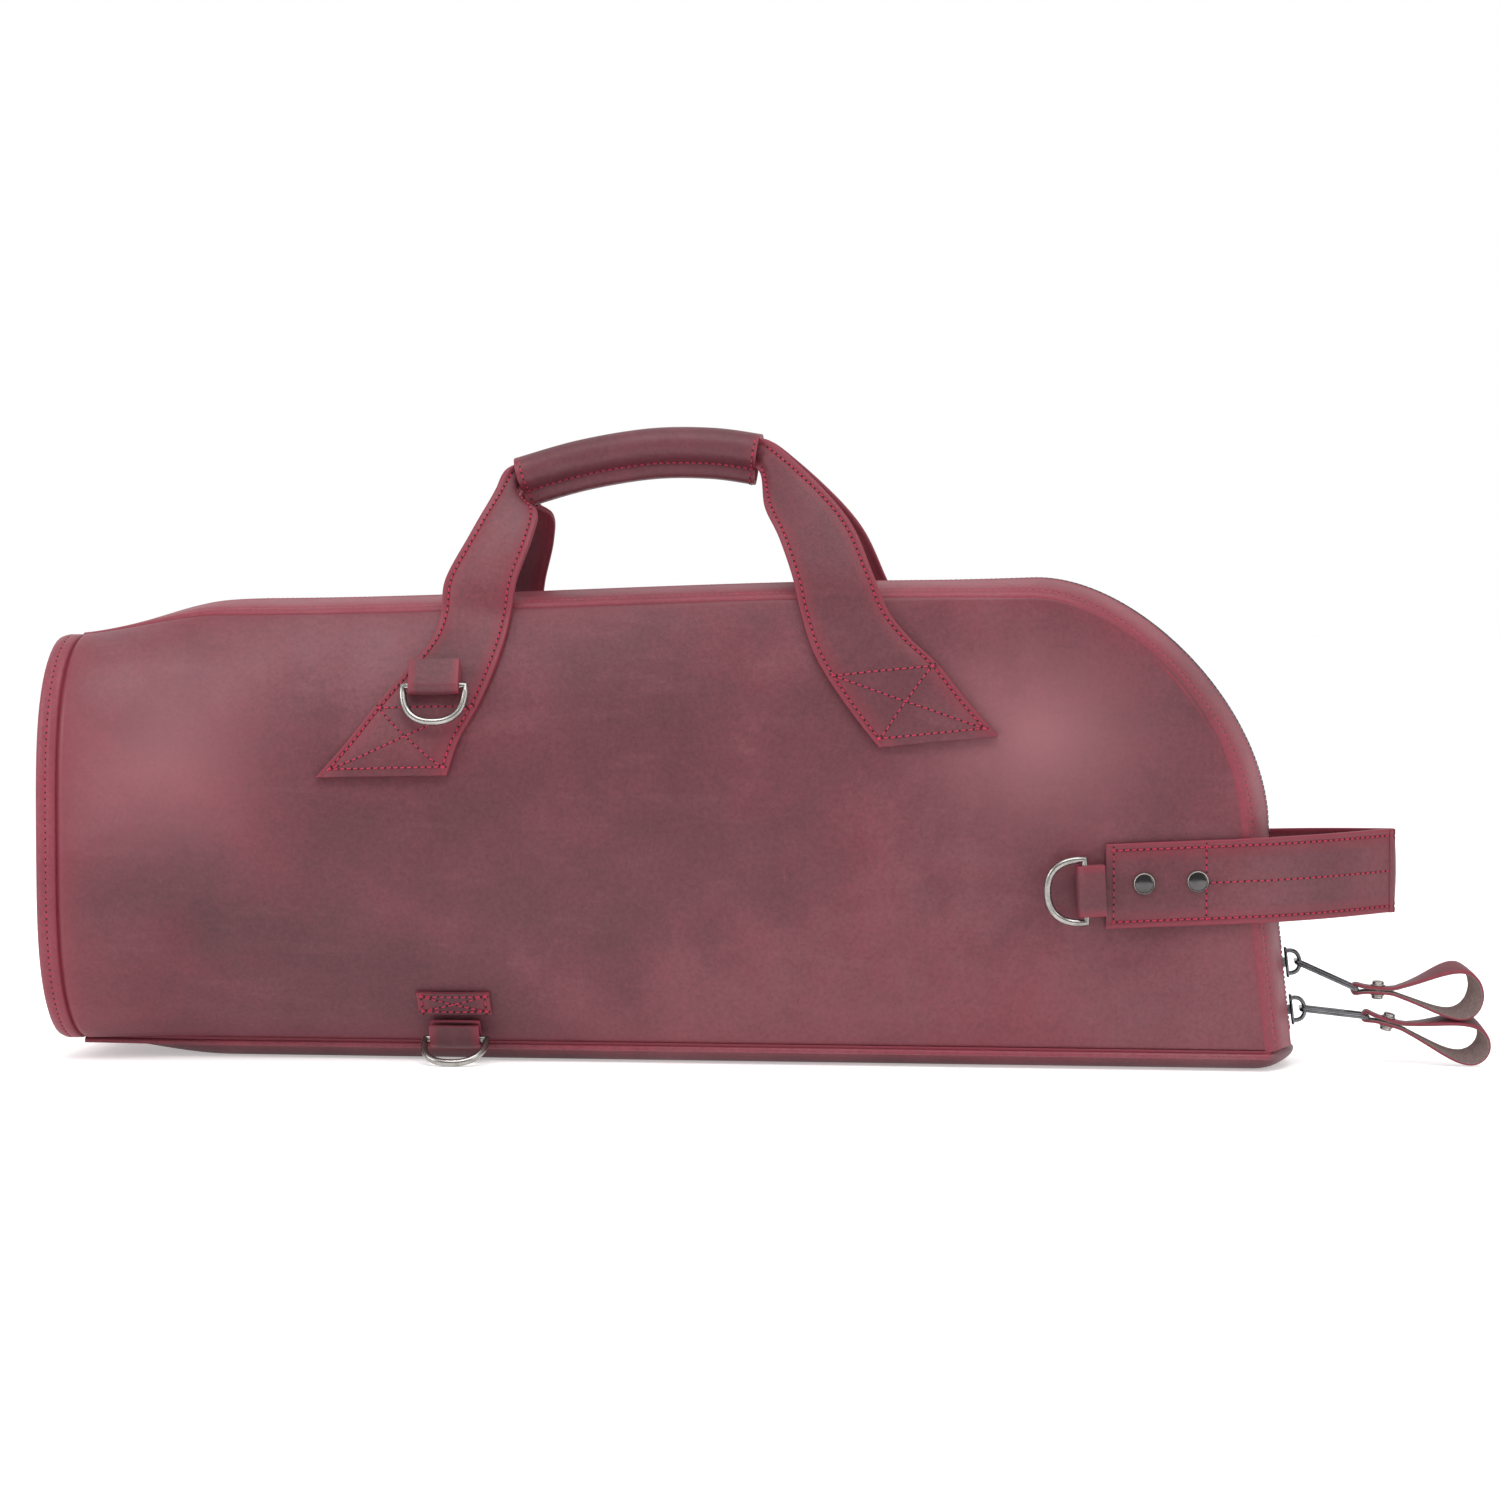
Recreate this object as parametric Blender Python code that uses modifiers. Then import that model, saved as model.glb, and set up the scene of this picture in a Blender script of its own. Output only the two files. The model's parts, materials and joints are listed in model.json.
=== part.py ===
"""Leather gig bag for a trumpet: a padded, tapering case with a zip round its top and narrow end.

Metres, +Z up. +X runs towards the narrow end, the front (the ring side) faces -Y, and the
origin is the middle of the flat underside that the bag rests on.
"""
import math

import bmesh
import bpy
from mathutils import Matrix, Vector

# ---- driving dimensions (metres, degrees) ----
CAP_X = -0.279                 # outer face of the wide end
TIP_X = 0.276                  # bottom corner of the narrow end's seams
GUSSET_HALF = 0.035            # half of the gusset, seam to seam
SEAM_LOW = 0.008               # height of the bottom seams over the underside
SEAM_TOP_WIDE = 0.206          # height of the top seams near the wide end
SEAM_TOP_NARROW = 0.214        # and over the narrow half
CAP_LOW = 0.0085               # underside of the wide end's cap
CAP_HEIGHT = 0.187
CAP_REACH = 0.076              # length over which the body settles from the cap's outline
CAP_SWEEP = math.radians(90)   # turn of the side panel, vertical to seam, at the cap
BODY_SWEEP = math.radians(44)  # the same just behind the cap's reach
CAP_SQUARENESS = 2.5           # 1 is a round side, more gives a flat side with round corners
END_LEAN = 0.011               # the narrow end's seam leans in by this much over END_STRAIGHT
END_STRAIGHT = 0.100
CORNER_RUN = 0.097             # the curved corner along X
CORNER_PULL = 0.44             # handle length of the curved corner's spline
TOP_CROWN = 0.007              # rise of the gusset's middle over its seams
END_CROWN = 0.011
CAP_CROWN = 0.002

LEATHER = 0.002
PADDING = 0.006
LINING = 0.0008
GAP = 0.0004
LAYER_GAP = 0.0014             # between curved layers, whose facets differ
BINDING_WIDTH = 0.0095
PLACKET_INNER = 0.0125         # inner edge of each zip placket, from the middle
PLACKET_OUTER = 0.0326
PLACKET_THICK = 0.0016
TAPE_INNER = 0.0030
TAPE_OUTER = 0.0180
TAPE_THICK = 0.0008
TEETH_INNER = 0.0002
TEETH_OUTER = 0.0026
TEETH_HEIGHT = 0.0026

STRAP_THICK = 0.0030
STRAP_WIDE = 0.038
RING_WIRE = 0.00165
RING_INSIDE = 0.025
RING_DEPTH = 0.0160
TAB_WIDTH = 0.023
TAB_THICK = 0.0016
TAB_GAP = 0.0006               # between a ring's bar and the tab that is folded round it
TAB_END_GAP = 0.0009           # half of the space between the tab's two sewn ends
TAB_TURN_STEPS = 6
SEWN_LIFT = 0.0012 + STRAP_THICK   # straps lie flat across the panel's crown
BAR_LIFT = SEWN_LIFT + GAP + RING_WIRE + TAB_GAP + TAB_THICK
STUD_R = 0.0048
PATCH_THICK = 0.0018

COLUMNS = 22
ROWS = 14

LEATHER_MAIN = ((0.20, 0.075, 0.09), 0.55, 0.0)
LEATHER_TRIM = ((0.30, 0.05, 0.08), 0.5, 0.0)
CLOTH = ((0.03, 0.025, 0.028), 0.9, 0.0)
FOAM = ((0.25, 0.25, 0.26), 0.95, 0.0)
BOARD = ((0.35, 0.28, 0.2), 0.9, 0.0)
NICKEL = ((0.72, 0.7, 0.68), 0.2, 1.0)
GUNMETAL = ((0.10, 0.10, 0.11), 0.3, 1.0)


# ---- scene helpers ----
def clear_scene():
    for old in list(bpy.data.objects):
        bpy.data.objects.remove(old)


def new_collection(name):
    made = bpy.data.collections.new(name)
    bpy.context.scene.collection.children.link(made)
    return made


clear_scene()
BAG = new_collection("trumpet_gig_bag")
CUTTERS = new_collection("cutters")


def finish_material(obj, look):
    colour, roughness, metallic = look
    made = bpy.data.materials.new(obj.name)
    made.use_nodes = True
    shader = made.node_tree.nodes["Principled BSDF"]
    shader.inputs["Base Color"].default_value = (*colour, 1.0)
    shader.inputs["Roughness"].default_value = roughness
    shader.inputs["Metallic"].default_value = metallic
    made.diffuse_color = (*colour, 1.0)
    obj.data.materials.clear()
    obj.data.materials.append(made)


def add_mesh(name, mesh, look, home=BAG):
    obj = bpy.data.objects.new(name, mesh)
    home.objects.link(obj)
    if look:
        finish_material(obj, look)
    return obj


def grid_mesh(name, rows, close_rows=False):
    """Faces between the points of a list of rows; close_rows joins the last row to the first."""
    build = bmesh.new()
    verts = [[build.verts.new(point) for point in row] for row in rows]
    if close_rows:
        verts.append(verts[0])
    for low, high in zip(verts, verts[1:]):
        for k in range(len(low) - 1):
            build.faces.new((low[k], low[k + 1], high[k + 1], high[k]))
    mesh = bpy.data.meshes.new(name)
    build.to_mesh(mesh)
    build.free()
    return mesh


def sheet(name, rows, thick, look, facing, close_rows=False):
    """An open sheet given its thickness below the drawn face, whose normal is turned to facing."""
    mesh = grid_mesh(name, rows, close_rows)
    total = Vector()
    for polygon in mesh.polygons:
        away = polygon.center - Vector(facing)
        total += Vector((polygon.normal.dot(away), 0, 0))
    if total.x < 0:
        mesh.flip_normals()
    obj = add_mesh(name, mesh, look)
    solid = obj.modifiers.new("thickness", "SOLIDIFY")
    solid.thickness = thick
    solid.offset = -1
    solid.use_even_offset = True
    return obj


def lerp(a, b, t):
    return a + (b - a) * t


def smooth(t):
    t = min(max(t, 0.0), 1.0)
    return t * t * (3 - 2 * t)


def catmull(points, t):
    """A point at t in 0..1 along a smooth curve through points."""
    count = len(points) - 1
    place = min(max(t, 0.0), 1.0) * count
    k = min(int(place), count - 1)
    f = place - k
    p0 = Vector(points[max(k - 1, 0)])
    p1 = Vector(points[k])
    p2 = Vector(points[k + 1])
    p3 = Vector(points[min(k + 2, count)])
    return 0.5 * (2 * p1 + (p2 - p0) * f + (2 * p0 - 5 * p1 + 4 * p2 - p3) * f ** 2
                  + (3 * p1 - p0 - 3 * p2 + p3) * f ** 3)


# ---- the bag's form ----
def cap_share(x):
    """1 at the cap, falling to 0 where the body has settled."""
    return 1 - smooth((x - CAP_X) / CAP_REACH)


def seam_top(x):
    return lerp(SEAM_TOP_WIDE, SEAM_TOP_NARROW, smooth((x + 0.2) / 0.32))


def section_base(x):
    return lerp(SEAM_LOW, CAP_LOW, cap_share(x))


def section_height(x):
    return lerp(seam_top(x) - SEAM_LOW, CAP_HEIGHT, cap_share(x))


def sweep(x):
    settled = CAP_X + CAP_REACH
    body = BODY_SWEEP * max(0.0, TIP_X - x) / (TIP_X - settled)
    return lerp(body, CAP_SWEEP, cap_share(x))


def squareness(x):
    return lerp(1.0, CAP_SQUARENESS, cap_share(x))


def side_curve(angle, power, share):
    """Reach outwards and upwards of a unit-long side that turns from -angle to +angle."""
    steps = 48
    out = up = out_here = up_here = 0.0
    for k in range(steps):
        t = 2 * (k + 0.5) / steps - 1
        turn = math.copysign(abs(t) ** power, t) * angle
        part = min(max(share * steps - k, 0.0), 1.0)
        out_here -= math.sin(turn) * part / steps
        up_here += math.cos(turn) * part / steps
        out -= math.sin(turn) / steps
        up += math.cos(turn) / steps
    return out_here / up, up_here / up


def bezier(p0, p1, p2, p3, t):
    s = 1 - t
    return [s ** 3 * a + 3 * s * s * t * b + 3 * s * t * t * c + t ** 3 * d
            for a, b, c, d in zip(p0, p1, p2, p3)]


CORNER_TOP = (TIP_X - END_LEAN - CORNER_RUN, SEAM_TOP_NARROW)
CORNER_LOW = (TIP_X - END_LEAN, SEAM_LOW + END_STRAIGHT)


def corner(t):
    """The curved corner of the seam, from the flat top (0) to the leaning end (1)."""
    rise = CORNER_TOP[1] - CORNER_LOW[1]
    first = (CORNER_TOP[0] + CORNER_RUN * CORNER_PULL, CORNER_TOP[1])
    second = (CORNER_LOW[0], CORNER_LOW[1] + rise * CORNER_PULL)
    return bezier(CORNER_TOP, first, second, CORNER_LOW, t)


CORNER_HALF = 0.074            # length of half of the curved corner


def top_edge(a):
    """Outline point (x, height) along the top, from the cap to the middle of the corner."""
    straight = CORNER_TOP[0] - (CAP_X + BINDING_WIDTH + GAP)
    along = a * (straight + CORNER_HALF)
    if along < straight:
        return CAP_X + BINDING_WIDTH + GAP + along, None
    return corner(0.5 * (along - straight) / CORNER_HALF)


def end_edge(b):
    """Outline point (x, height) up the narrow end, from its foot to the middle of the corner."""
    along = b * (END_STRAIGHT + CORNER_HALF)
    if along < END_STRAIGHT:
        f = along / END_STRAIGHT
        return TIP_X - END_LEAN * f, SEAM_LOW + along
    return corner(1 - 0.5 * (along - END_STRAIGHT) / CORNER_HALF)


def outline(a, b):
    """Flat place (x, share of the full height, height) of a panel point; a along X, b upwards."""
    x_top, z_top = top_edge(a)
    if z_top is None:
        z_top = section_base(x_top) + section_height(x_top)
    x_low = lerp(CAP_X + BINDING_WIDTH + GAP, TIP_X, a)
    x_end, z_end = end_edge(b)
    x_mid, z_mid = end_edge(1.0)
    x = lerp(x_low, x_top, b) + a * (x_end - lerp(TIP_X, x_mid, b))
    z_low = section_base(x_low)
    z = lerp(z_low, z_top, b) + a * (z_end - lerp(SEAM_LOW, z_mid, b))
    return x, z


def panel_point(a, b, depth, side):
    """Point of a side panel, depth inside its face; side is -1 at the front, 1 at the back."""
    def surface(a_here, b_here):
        x, z = outline(a_here, b_here)
        x_low, z_low = outline(a_here, 0.0)
        z_high = outline(a_here, 1.0)[1]
        angle = sweep(x) * (1 - smooth((a_here - 0.72) / 0.28))
        out, up = side_curve(angle, squareness(x), b_here)
        straight = (z - z_low) / max(z_high - z_low, 1e-6)
        height = z_low + (z_high - z_low) * (straight + up - b_here)
        return Vector((x, GUSSET_HALF + out * (z_high - z_low), height))

    step = 0.004
    here = surface(a, b)
    low_a, high_a = max(a - step, 0.0), min(a + step, 1.0)
    low_b, high_b = max(b - step, 0.0), min(b + step, 1.0)
    along = surface(high_a, b) - surface(low_a, b)
    upward = surface(a, high_b) - surface(a, low_b)
    inward = along.cross(upward)
    inward.normalize()
    if inward.y > 0:
        inward.negate()
    here += inward * depth
    return Vector((here.x, side * here.y, here.z))


def column_share(k, count):
    """Columns crowd towards the cap, where the form changes fastest."""
    return (k / count) ** 1.25


def side_sheet(name, side, depth, thick, look, inset=0.0, columns=COLUMNS, rows=ROWS):
    low, high = inset, 1 - inset
    points = []
    for j in range(rows + 1):
        b = lerp(low, high, j / rows)
        points.append([panel_point(lerp(inset * 0.5, 1 - inset, column_share(k, columns)), b,
                                   depth, side) for k in range(columns + 1)])
    return sheet(name, points, thick, look, (0, 0, 0.1))


# ---- the gusset over the top and down the narrow end ----
GUSSET_STEPS = 40


def gusset_path(s):
    """Seam point (x, z) at share s, from the cap over the top and down to the foot."""
    top_length = CORNER_TOP[0] - CAP_X + CORNER_HALF
    end_length = END_STRAIGHT + CORNER_HALF
    along = s * (top_length + end_length)
    if along < top_length:
        return outline(along / top_length, 1.0)
    return outline(1.0, 1 - (along - top_length) / end_length)


def gusset_frame(s):
    x, z = gusset_path(s)
    x0, z0 = gusset_path(max(s - 0.006, 0.0))
    x1, z1 = gusset_path(min(s + 0.006, 1.0))
    run = Vector((x1 - x0, 0, z1 - z0))
    run.normalize()
    return Vector((x, 0, z)), run, Vector((-run.z, 0, run.x))


def gusset_crown(s):
    crown = lerp(TOP_CROWN, END_CROWN, smooth((s - 0.55) / 0.25))
    return lerp(CAP_CROWN, crown, smooth(s / 0.1))


def gusset_point(s, y, lift):
    place, run, outward = gusset_frame(s)
    rise = gusset_crown(s) * (1 - (y / GUSSET_HALF) ** 2) + lift
    point = place + outward * rise
    return Vector((point.x, y, point.z))


def gusset_sheet(name, side, near, far, lift, thick, look, start, stop, across, steps):
    points = []
    for j in range(across + 1):
        y = side * lerp(near, far, j / across)
        points.append([gusset_point(lerp(start, stop, k / steps), y, lift)
                       for k in range(steps + 1)])
    return sheet(name, points, thick, look, (0, 0, 0.1))


# ---- wide end: cap, board, lining and binding ----
def cap_loop(x, inset, steps=9):
    """Closed outline of the cap, inset towards its middle."""
    half = []
    for k in range(steps + 1):
        out, up = side_curve(CAP_SWEEP, CAP_SQUARENESS, k / steps)
        half.append(Vector((x, GUSSET_HALF + out * CAP_HEIGHT, CAP_LOW + up * CAP_HEIGHT)))
    ring = half + [Vector((x, -p.y, p.z)) for p in reversed(half)]
    moved = []
    for k, point in enumerate(ring):
        before, after = ring[k - 1], ring[(k + 1) % len(ring)]
        along = (after - before).normalized()
        moved.append(point + Vector((0, -along.z, along.y)) * inset)
    return moved


def cap_plate(name, x, inset, thick, look):
    build = bmesh.new()
    loop = [build.verts.new(p) for p in cap_loop(x, inset)]
    face = build.faces.new(loop)
    face.normal_update()
    if face.normal.x > 0:
        face.normal_flip()
    mesh = bpy.data.meshes.new(name)
    build.to_mesh(mesh)
    build.free()
    obj = add_mesh(name, mesh, look)
    solid = obj.modifiers.new("thickness", "SOLIDIFY")
    solid.thickness = thick
    solid.offset = -1
    return obj


# ---- straps ----
def ribbon(name, lefts, rights, thick, look, steps, facing, across=2):
    """A strap between two smooth edges, thick on the side away from facing."""
    rows = []
    for k in range(steps + 1):
        left, right = catmull(lefts, k / steps), catmull(rights, k / steps)
        rows.append([left.lerp(right, j / across) for j in range(across + 1)])
    return sheet(name, rows, thick, look, facing)


def panel_share(x):
    start = CAP_X + BINDING_WIDTH + GAP
    return min(max((x - start) / (TIP_X - start), 0.0), 1.0)


def panel_frame(x, z, side, lift):
    """Place on a side panel's face, lifted off it, with its directions along X, up and outwards."""
    a, b = panel_share(x), z / SEAM_TOP_NARROW
    for _ in range(14):
        found = panel_point(a, b, 0.0, side)
        a = min(max(a + (x - found.x) / (TIP_X - CAP_X), 0.01), 0.99)
        b = min(max(b + (z - found.z) / SEAM_TOP_NARROW, 0.02), 0.98)
    here = panel_point(a, b, 0.0, side)
    upward = panel_point(a, b + 0.02, 0, side) - panel_point(a, b - 0.02, 0, side)
    along = panel_point(a + 0.01, b, 0, side) - panel_point(a - 0.01, b, 0, side)
    upward.normalize()
    along.normalize()
    outward = upward.cross(along) * side
    outward.normalize()
    return here + outward * lift, along, upward, outward


# Handle legs. Laid on the panel: (left x, left z, right x, right z), sewn end first.
# Free of it: (left x, y, z, right x, y, z) up to the grip's end.
LEFT_LAID = [(-0.151, 0.131, -0.092, 0.132), (-0.138, 0.146, -0.087, 0.148),
             (-0.126, 0.162, -0.079, 0.163), (-0.113, 0.178, -0.073, 0.178),
             (-0.103, 0.192, -0.069, 0.192)]
LEFT_FREE = [(-0.0995, -0.0415, 0.206, -0.067, -0.0415, 0.206),
             (-0.098, -0.0385, 0.221, -0.065, -0.0385, 0.221),
             (-0.0885, -0.0310, 0.241, -0.0595, -0.0310, 0.240),
             (-0.0810, -0.0220, 0.257, -0.0585, -0.0200, 0.253),
             (-0.0745, -0.0120, 0.2765, -0.0682, -0.0120, 0.2580)]
RIGHT_LAID = [(0.101, 0.145, 0.154, 0.150), (0.089, 0.160, 0.140, 0.166),
              (0.077, 0.177, 0.127, 0.182), (0.070, 0.190, 0.115, 0.193)]
RIGHT_FREE = [(0.065, -0.0420, 0.206, 0.105, -0.0405, 0.206),
              (0.0610, -0.0385, 0.222, 0.098, -0.0385, 0.222),
              (0.0540, -0.0310, 0.240, 0.087, -0.0310, 0.246),
              (0.0465, -0.0220, 0.254, 0.069, -0.0220, 0.2665),
              (0.0445, -0.0120, 0.2670, 0.0475, -0.0120, 0.2860)]


def leg(name, laid, free, side):
    lefts, rights = [], []
    for left_x, left_z, right_x, right_z in laid:
        lefts.append(panel_frame(left_x, left_z, side, SEWN_LIFT)[0])
        rights.append(panel_frame(right_x, right_z, side, SEWN_LIFT)[0])
    for left_x, left_y, left_z, right_x, right_y, right_z in free:
        lefts.append((left_x, -side * left_y, left_z))
        rights.append((right_x, -side * right_y, right_z))
    return ribbon(name, lefts, rights, STRAP_THICK, LEATHER_TRIM, 18, (0, 0, 0.15))


def tube(name, points, radius, look, closed=False, sides=2):
    """A round bar or wire through points."""
    curve = bpy.data.curves.new(name, "CURVE")
    curve.dimensions = "3D"
    curve.bevel_depth = radius
    curve.bevel_resolution = sides
    curve.use_fill_caps = not closed
    spline = curve.splines.new("POLY")
    spline.points.add(len(points) - 1)
    for knot, point in zip(spline.points, points):
        knot.co = (*point, 1.0)
    spline.use_cyclic_u = closed
    obj = bpy.data.objects.new(name, curve)
    BAG.objects.link(obj)
    finish_material(obj, look)
    return obj


# ---- rings and their tabs ----
RING_SIDES = 0.85              # powers that make the ring a D and not a half circle
RING_BOW = 0.8
RING_SETBACK = 0.001


def ring_points(steps=16):
    """A D-shaped ring in its own plane: bar along local x, bow towards local -y."""
    half = RING_INSIDE / 2 + RING_WIRE
    points = [(-half, 0.0), (0.0, 0.0), (half, 0.0)]
    for k in range(1, steps):
        angle = math.pi * k / steps
        bow = math.copysign(abs(math.cos(angle)) ** RING_SIDES, math.cos(angle))
        points.append((half * bow, -RING_DEPTH * math.sin(angle) ** RING_BOW - RING_SETBACK))
    return points


def place(origin, along, away):
    """Matrix whose x is along, whose y is against away, and whose z is their normal."""
    x_axis = Vector(along).normalized()
    y_axis = -(Vector(away) - x_axis * Vector(away).dot(x_axis)).normalized()
    z_axis = x_axis.cross(y_axis)
    turn = Matrix((x_axis, y_axis, z_axis)).transposed().to_4x4()
    return Matrix.Translation(Vector(origin)) @ turn


def ring(name, matrix):
    obj = tube(name, [(x, y, 0.0) for x, y in ring_points()], RING_WIRE, NICKEL, True)
    obj.matrix_world = matrix
    return obj


def tab(name, matrix, length):
    """A strip folded round the ring's bar; both layers run back along local +y."""
    outer = RING_WIRE + TAB_GAP + TAB_THICK
    end = TAB_END_GAP + TAB_THICK
    shoulder = lerp(end, outer, 0.6)
    path = [(length, end), (length / 2, shoulder)]
    for k in range(TAB_TURN_STEPS + 1):
        angle = math.pi * k / TAB_TURN_STEPS
        path.append((-outer * math.sin(angle), outer * math.cos(angle)))
    path += [(length / 2, -shoulder), (length, -end)]
    half = TAB_WIDTH / 2
    rows = [[matrix @ Vector((x, y, z)) for x in (-half, 0.0, half)] for y, z in path]
    middle = matrix @ Vector((0, length * 0.4, 0))
    return sheet(name, rows, TAB_THICK, LEATHER_TRIM, middle)


# ---- pulls of the zip ----
LINK_LENGTH = 0.0300
LINK_HALF = 0.0078
LINK_WIRE = 0.0009
PULL_WIDTH = 0.0098
PULL_THICK = 0.0015
PULL_NECK = 0.0018             # outer half thickness where the two layers are riveted
PULL_NECK_START = 0.0050
PULL_NECK_END = 0.0150
PULL_LENGTH = 0.0570
PULL_SWELL = 0.0105
LOW_SWELL = 0.0085             # the lower pull is pressed flatter by the one that lies on it
PULL_LEAN_BACK = 0.0060        # how far a pull's far edge leans back and up at its loop
PULL_LEAN_UP = 0.0045
RIVET_AT = 0.0095
RIVET_POST = 0.0012
RIVET_HEAD = 0.0033
RIVET_HEAD_THICK = 0.0014


def link_points(steps=8):
    """A long wire loop in its own plane, from its bar at 0 to its bar at LINK_LENGTH along x."""
    radius = 0.0018
    points = []
    for cx, cy, turn in ((radius, LINK_HALF - radius, 90), (radius, radius - LINK_HALF, 180),
                         (LINK_LENGTH - radius, radius - LINK_HALF, 270),
                         (LINK_LENGTH - radius, LINK_HALF - radius, 0)):
        for k in range(steps // 2 + 1):
            angle = math.radians(turn + 90 * k / (steps // 2))
            points.append((cx + radius * math.cos(angle), cy + radius * math.sin(angle)))
    return points


def pull_profile(swell):
    """Closed outline (along, up) of the outer face of a pull's band of leather."""
    nose = LINK_WIRE + GAP + PULL_THICK
    upper = [(nose * math.cos(math.radians(a)), nose * math.sin(math.radians(a)))
             for a in (180, 140, 100)]
    upper += [(PULL_NECK_START, PULL_NECK), (PULL_NECK_END, PULL_NECK)]
    run = PULL_LENGTH - PULL_NECK_END
    for k in range(1, 12):
        t = k / 12
        bulge = math.sin(math.pi * t ** 1.35) ** 0.85
        upper.append((PULL_NECK_END + run * (1 - (1 - t) ** 1.6),
                      PULL_NECK * (1 - t) + swell * bulge))
    lower = [(u, -n) for u, n in reversed(upper[1:])]
    return upper + [(PULL_LENGTH, 0.0)] + lower


def tilted(origin, degrees):
    """Frame at origin whose x points along +X, turned down by degrees."""
    return Matrix.Translation(Vector(origin)) @ Matrix.Rotation(math.radians(degrees), 4, "Y")


def carve(obj, cutter, operation="DIFFERENCE"):
    step = obj.modifiers.new("cut", "BOOLEAN")
    step.operation = operation
    step.object = cutter
    step.solver = "EXACT"
    cutter.hide_render = True
    cutter.display_type = "WIRE"


def cylinder(name, radius, length, matrix, look, home, sides=16):
    build = bmesh.new()
    bmesh.ops.create_cone(build, cap_ends=True, segments=sides, radius1=radius, radius2=radius,
                          depth=length)
    mesh = bpy.data.meshes.new(name)
    build.to_mesh(mesh)
    build.free()
    obj = add_mesh(name, mesh, look, home)
    obj.matrix_world = matrix
    return obj


def block(name, size, matrix, look, home):
    build = bmesh.new()
    bmesh.ops.create_cube(build, size=1.0)
    bmesh.ops.scale(build, vec=size, verts=build.verts)
    mesh = bpy.data.meshes.new(name)
    build.to_mesh(mesh)
    build.free()
    obj = add_mesh(name, mesh, look, home)
    obj.matrix_world = matrix
    return obj


def turned(name, profile, matrix, look, steps=20):
    """A turned body from (radius, height) points, top to bottom of its outer side."""
    build = bmesh.new()
    verts = [build.verts.new((radius, 0, height)) for radius, height in profile]
    for upper, lower in zip(verts, verts[1:]):
        build.edges.new((upper, lower))
    mesh = bpy.data.meshes.new(name)
    build.to_mesh(mesh)
    build.free()
    obj = add_mesh(name, mesh, look)
    screw = obj.modifiers.new("turn", "SCREW")
    screw.steps = steps
    screw.render_steps = steps
    screw.use_merge_vertices = True
    screw.merge_threshold = 0.00001
    obj.matrix_world = matrix
    return obj


def pull(name, origin, degrees, swell):
    frame = tilted(origin, degrees)
    rows = []
    for u, n in pull_profile(swell):
        lean = smooth((u - PULL_NECK_END) / (PULL_LENGTH - PULL_NECK_END))
        rows.append([frame @ Vector((u - PULL_LEAN_BACK * lean * far, PULL_WIDTH * (far - 0.5),
                                     n + PULL_LEAN_UP * lean * far)) for far in (1, 0.5, 0)])
    band = sheet(name, rows, PULL_THICK, LEATHER_TRIM, frame @ Vector((0.03, 0, 0)), True)
    hole = cylinder(name + "_hole", RIVET_POST + GAP, 0.012,
                    frame @ Matrix.Translation((RIVET_AT, 0, 0)), None, CUTTERS)
    carve(band, hole)
    head = PULL_NECK + GAP
    crown = head + RIVET_HEAD_THICK
    profile = [(0, crown), (RIVET_HEAD * 0.8, crown), (RIVET_HEAD, crown - 0.0004),
               (RIVET_HEAD, head), (RIVET_POST, head), (RIVET_POST, -head), (RIVET_HEAD, -head),
               (RIVET_HEAD, 0.0004 - crown), (RIVET_HEAD * 0.8, -crown), (0, -crown)]
    turned(name + "_rivet", profile, frame @ Matrix.Translation((RIVET_AT, 0, 0)), NICKEL)
    return band


def link(name, origin, degrees):
    obj = tube(name, [(x, y, 0.0) for x, y in link_points()], LINK_WIRE, GUNMETAL, True)
    obj.matrix_world = tilted(origin, degrees)
    return obj


# ---- sliders ----
PATH_LENGTH = (CORNER_TOP[0] - CAP_X + CORNER_HALF) + END_STRAIGHT + CORNER_HALF
UPPER_SLIDER_Z = 0.045
LOWER_SLIDER_Z = 0.0235
SLIDER_LENGTH = 0.0140
SLIDER_WIDTH = 0.0120
SLIDER_PLATE = 0.0012
SLIDER_TOP = 0.0003            # underside of its outer plate, over the gusset's face
SLIDER_LOW = -0.0049           # upper face of its inner plate
POST_WIDTH = 0.0030
POST_LENGTH = 0.0050
TEETH_SPREAD = 0.0021          # how far each row is parted at a slider's post
BRIDGE_LENGTH = 0.0080
BRIDGE_WIDTH = 0.0032
BRIDGE_HEIGHT = 0.0058
EYE_RADIUS = 0.0015
EYE_STRETCH = 1.7              # the eye is longer along the zip, so that the link can sweep
EYE_LIFT = SLIDER_TOP + SLIDER_PLATE + 0.0036


def end_share(z):
    """Share of the gusset's path at height z on the leaning end."""
    return 1 - (z - SEAM_LOW) / PATH_LENGTH


def slider_matrix(z):
    """Frame of a slider: x along the zip towards its foot, y across, z outwards."""
    share = end_share(z)
    place_here, run, outward = gusset_frame(share)
    origin = gusset_point(share, 0.0, 0.0)
    turn = Matrix((run, outward.cross(run), outward)).transposed().to_4x4()
    return Matrix.Translation(origin) @ turn


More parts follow.
